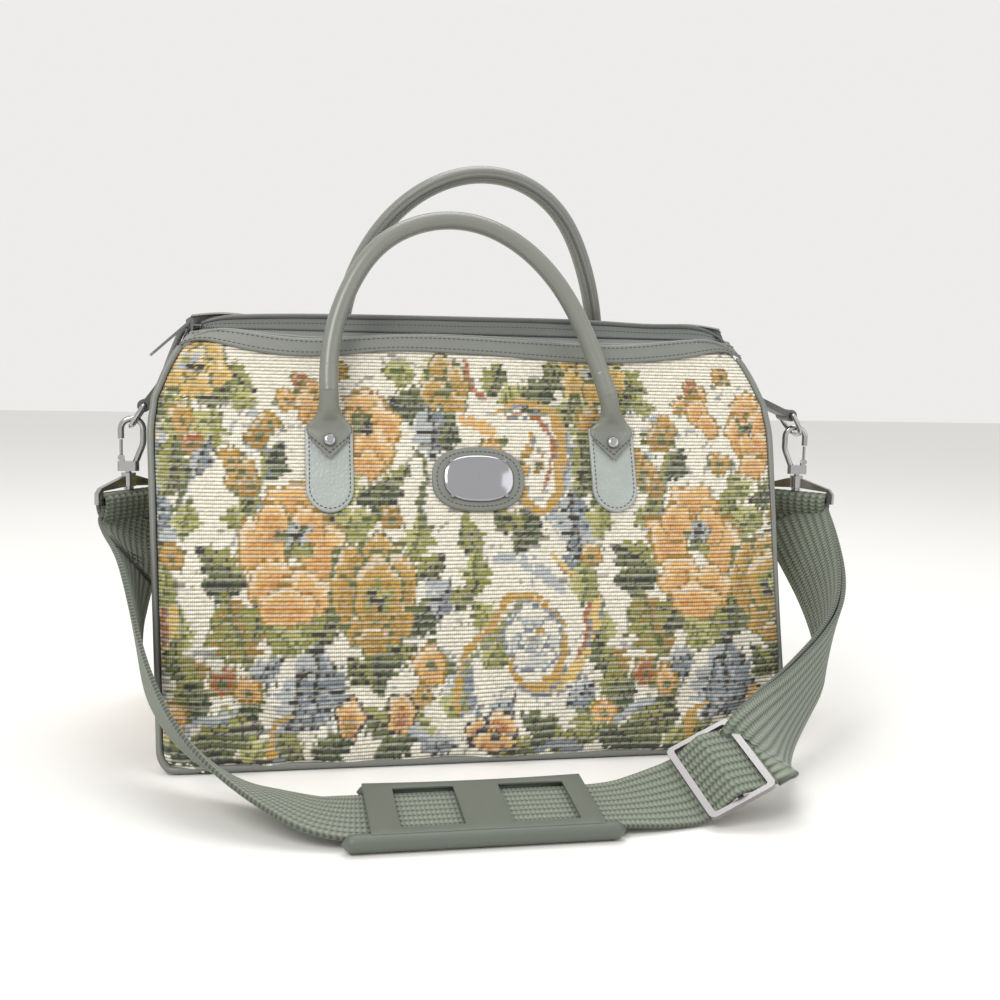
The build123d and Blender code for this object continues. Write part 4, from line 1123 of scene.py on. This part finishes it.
# The free runs of the strap: a point and the direction across the webbing at each station.
LEFT_RUN = (((-230, -4, 134), (.64, .74, -.18)), ((-228, -22, 121), (.5, .72, -.48)),
            ((-225, -44, 112), (.32, .69, -.65)), ((-222, -67, 101), (.15, .66, -.73)),
            ((-217, -95, 80), (.02, .63, -.78)), ((-208, -123, 59), (.03, .62, -.78)),
            ((-190, -152, 38), (.18, .68, -.71)), ((-165, -178, 24), (.32, .80, -.5)),
            ((-136, -197, 15), (.30, .94, -.18)))
RIGHT_RUN = (((157, -186, 37), (-.30, .35, .89)), ((176, -160, 39), (-.3, -.12, .95)),
             ((202, -132, 48), (-.21, -.27, .94)), ((228, -108, 62), (-.17, -.4, .9)),
             ((243, -85, 77), (-.02, -.56, .83)), ((250, -60, 96), (.18, -.67, .72)),
             ((251, -33, 118), (.4, -.72, .5)))


def strap_stations():
    """Points along the strap from the left loop to the right, and the direction across it at each."""
    stations = [(LEFT_FOOT + (0, 0, -3), LEFT_ACROSS), (LEFT_FOOT + (0, 0, -14), LEFT_ACROSS)]
    stations += [(np.array(p, float), np.array(w)) for p, w in LEFT_RUN]
    stations += [(PAD_MIDDLE + (dx, 0, 0), PAD_ACROSS) for dx in (-80, -40, 0, 40, 80)]
    stations += [(np.array([73, -212, 9.5]), np.array([-.06, .96, .26]))]
    stations += [(SLIDE + SLIDE_ALONG * s + SLIDE_OUT * n, SLIDE_ACROSS) for s, n in SLIDE_WEAVE]
    stations += [(np.array(p, float), np.array(w)) for p, w in RIGHT_RUN]
    return stations + [(RIGHT_FOOT + (0, 0, -14), RIGHT_ACROSS), (RIGHT_FOOT + (0, 0, -3), RIGHT_ACROSS)]


def nurbs_points(points, resolution=14):
    """The points of a smooth open curve that has these as its control points."""
    data = bpy.data.curves.new("route", "CURVE")
    data.dimensions = "3D"
    spline = data.splines.new("NURBS")
    spline.points.add(len(points) - 1)
    for control, p in zip(spline.points, points):
        control.co = (*[float(c) for c in p], 1)
    spline.order_u = 3
    spline.use_endpoint_u = True
    spline.resolution_u = resolution
    holder = new_object("route", data)
    mesh = final_mesh(holder)
    co = np.empty(len(mesh.vertices) * 3, np.float32)
    mesh.vertices.foreach_get("co", co)
    bpy.data.objects.remove(holder)
    return co.reshape(-1, 3).astype(float)


def ribbon(line, across, thick):
    """A flat strap with rounded edges as a closed grid of rings, and its UV map."""
    _, across, normal = frames_along(line, across)
    bend = thick / 2
    flat_half = STRAP_HALF - bend
    flat = np.linspace(-1, 1, 37)
    round_a = np.linspace(pi / 2, -pi / 2, 7)[1:-1]
    ring = [(f * flat_half, bend) for f in flat]
    ring += [(flat_half + cos(a) * bend, sin(a) * bend) for a in round_a]
    ring += [(f * flat_half, -bend) for f in flat[::-1]]
    ring += [(-flat_half - cos(a) * bend, -sin(a) * bend) for a in round_a]
    ring = np.array(ring)
    w = ring[:, 0]
    corrugate = 0.22 * np.abs(np.sin(w / STRAP_HALF * pi * WEBBING_RIBS / 2)) * np.sign(ring[:, 1])
    n = ring[:, 1] + corrugate
    grid = line[:, None] + across[:, None] * w[None, :, None] + normal[:, None] * n[None, :, None]
    shape = (len(line), len(ring))
    uv = np.stack([np.broadcast_to(w / (2 * STRAP_HALF) + 0.5, shape),
                   np.broadcast_to(run_along(line)[:, None], shape)], -1)
    return grid, uv


def shrunk(ring):
    """A ring drawn in to almost a point, which closes an end."""
    middle = ring.mean(0)
    return [middle + (ring - middle) * 0.02]


def strap_piece(name, line, across, thick=STRAP_THICK):
    grid, uv = ribbon(line, across, thick)
    grid = np.concatenate([shrunk(grid[0]), grid, shrunk(grid[-1])], 0)
    obj = quad_mesh(name, grid * MM, close_u=True)
    set_uv(obj, np.concatenate([uv[:1], uv, uv[-1:]], 0))
    return obj


FOLD_RADIUS, FOLD_LOW = 4.4, -14


def wrap_line(foot, across, last_leg):
    """The fold of webbing over a loop's bar: up one leg, round the bar and down the other."""
    out = np.cross(across, (0, 0, 1))
    arc = [(FOLD_RADIUS * cos(a), FOLD_RADIUS * sin(a)) for a in np.linspace(pi, 0, 15)]
    path = [(0.0, FOLD_LOW), (-FOLD_RADIUS, -2), *arc, (FOLD_RADIUS, -2), (last_leg, FOLD_LOW)]
    return np.array([foot + out * a + np.array([0, 0, b]) for a, b in path])


# The webbing doubles back from the slide: its stations, counted from the right end, and its gap.
RETURN_STATIONS = slice(-11, -1)
RETURN_GAP, RETURN_BULGE = 3.1, 0.9
TAIL_POINTS, TAIL_KEPT, TAIL_GAP = 40, 30, 2.9
TAIL_SEAMS, TAIL_SEAM_HALF = (24, 27), 22


def return_piece(stations):
    """The second layer of webbing, from the slide back to the right loop."""
    line = nurbs_points([p for p, _ in stations])
    across = nurbs_points([w * 100 for _, w in stations])
    _, _, normal = frames_along(line, across)
    count = len(line)
    gap = RETURN_GAP + RETURN_BULGE * np.sin(np.linspace(0, pi, count))[:, None]
    start = 0.9 + 0.1 * np.clip(np.arange(count) / 20, 0, 1)[:, None]
    return strap_piece("strap_return", line - normal * gap * start, across, LAYER_THICK)


def tail_route(stations):
    """The short sewn end of the webbing below the left loop: its line and its across directions."""
    points = [LEFT_FOOT + np.cross(LEFT_ACROSS, (0, 0, 1)) * 3.0 + (0, 0, -12)]
    for (before, _), (p, w), (after, _) in zip(stations[1:4], stations[2:5], stations[3:6]):
        points.append(p + np.cross(unit(after - before), unit(w)) * TAIL_GAP)
    share = np.linspace(0, 1, TAIL_POINTS)[:, None]
    across = stations[1][1] * (1 - share) + stations[4][1] * share
    return smooth_line(points, TAIL_POINTS)[:TAIL_KEPT], across[:TAIL_KEPT]


def make_strap():
    """The webbing from loop to loop with its folds, second layer and tail, as one mesh."""
    stations = strap_stations()
    line = nurbs_points([p for p, _ in stations])
    across = nurbs_points([w * 100 for _, w in stations])
    parts = [strap_piece("strap_main", line, across), return_piece(stations[RETURN_STATIONS])]
    for foot, over, last_leg, hand in ((LEFT_FOOT, LEFT_ACROSS, 3.0, "left"),
                                       (RIGHT_FOOT, -RIGHT_ACROSS, 3.6, "right")):
        fold = smooth_line(wrap_line(foot, over, last_leg), 46)
        parts.append(strap_piece("strap_fold_" + hand, fold, over))
    tail_line, tail_across = tail_route(stations)
    parts.append(strap_piece("strap_tail", tail_line, tail_across, LAYER_THICK))
    strap = joined("shoulder_webbing", parts)
    finish_piece(strap, webbing, "bag", ["shoulder_strap"])
    make_pad()
    seams = []
    for k in TAIL_SEAMS:
        w = unit(tail_across[k])
        middle = tail_line[k] + unit(np.cross(tail_line[k + 1] - tail_line[k], w)) * 1.7
        seams.append(densify([middle - w * TAIL_SEAM_HALF, middle + w * TAIL_SEAM_HALF]))
    stitch("strap_tail_stitches", seams, pitch=3.4, length=2.4, radius=0.5)


# The pad: directions across and up, the grid of its plate and the windows in it.
PAD_NEAR = -PAD_ACROSS
PAD_UP = np.array([0, -0.11, 0.994])
PAD_COLUMNS = (-61, -53, -44.4, -36, -27, -18, -10, 3, 16, 25, 35, 44, 53.5, 60, 66)
PAD_ROWS = (30.0, 23.0, 0.0, -22.5, -30.5)
PAD_WINDOWS = ((-44.4, -10), (16, 53.5))


def on_pad(x, near, up):
    """A point from the pad's middle: along the strap, across it to the near side, and up."""
    return PAD_MIDDLE + np.array([x, 0, 0]) + PAD_NEAR * near + PAD_UP * up


def pad_waist(x):
    """How far the pad's far edge is drawn in."""
    return 2.2 * (1 - (x / PAD_COLUMNS[-1]) ** 2)


def moulding(name, thick, height, windows):
    """A flat bevelled plate of the pad, with or without its windows."""
    verts, faces = [], []
    for x in PAD_COLUMNS:
        for near in PAD_ROWS:
            waist = pad_waist(x) if near == PAD_ROWS[-1] else 0.0
            verts.append(tuple(on_pad(x, near + waist, height) * MM))
    rows = len(PAD_ROWS)
    for i in range(len(PAD_COLUMNS) - 1):
        in_window = any(a <= PAD_COLUMNS[i] and PAD_COLUMNS[i + 1] <= b for a, b in windows)
        for k in range(rows - 1):
            if in_window and 0 < k < rows - 2:
                continue
            corner = i * rows + k
            faces.append((corner, corner + 1, corner + rows + 1, corner + rows))
    mesh = bpy.data.meshes.new(name)
    mesh.from_pydata(verts, [], faces)
    obj = new_object(name, mesh)
    solid = obj.modifiers.new("thickness", "SOLIDIFY")
    solid.thickness, solid.offset = thick * MM, -1.0
    bevel = obj.modifiers.new("edges", "BEVEL")
    bevel.width, bevel.segments, bevel.limit_method = 0.7 * MM, 3, "ANGLE"
    baked = final_mesh(obj)
    obj.modifiers.clear()
    obj.data = baked
    shade_smooth(baked)
    baked.set_sharp_from_angle(angle=radians(50))
    return obj


def make_pad():
    """A thin frame moulded round the webbing, with a roll along its near edge."""
    top = moulding("shoulder_pad_frame", 1.9, 3.9, PAD_WINDOWS)
    under = moulding("shoulder_pad_sole", 1.6, -2.0, ())
    far_line = [on_pad(x, -29.8 + pad_waist(x), 0.6) for x in PAD_COLUMNS]
    far = tube("shoulder_pad_far_edge", far_line, 3.1, hint=(0, 0, 1), around=12)
    near_line = smooth_line([on_pad(x, 29.0, 0.4) for x in (-72, -40, 0, 40, 73)], 50)
    near = tube("shoulder_pad_roll", near_line, 4.9, hint=(0, 0, 1), around=18)
    pad = joined("shoulder_pad_moulding", [top, under, far, near])
    finish_piece(pad, pad_rubber, "bag", ["shoulder_pad"])
    return pad


# Finish of the solids that show as they are
LOOKS = {"left_ring_tab": leather_dark, "right_ring_tab": leather_dark, "left_end_panel": leather,
         "right_end_panel": leather, "front_handle_ends": leather_gloss, "rear_handle_ends": leather_gloss,
         "shoulder_pad": pad_rubber, "base_board": board_card, "badge_pins": badge_metal,
         "strap_slide": slide_steel, "zip_pull": steel_dark, "zip_slider": steel_dark}


def dress_solids():
    for name, obj in nodes.items():
        obj.data.materials.clear()
        obj.data.materials.append(LOOKS.get(name, steel))
        shade_smooth(obj.data)
        obj.data.set_sharp_from_angle(angle=radians(32))


make_camera()
make_stage()
dress_solids()
make_strap()
make_panel(-1, "front_panel_cloth")
make_panel(1, "rear_panel_cloth")
make_gusset()
make_piping()
make_rims()
make_zip()
make_tabs()
make_handles()
make_badge()
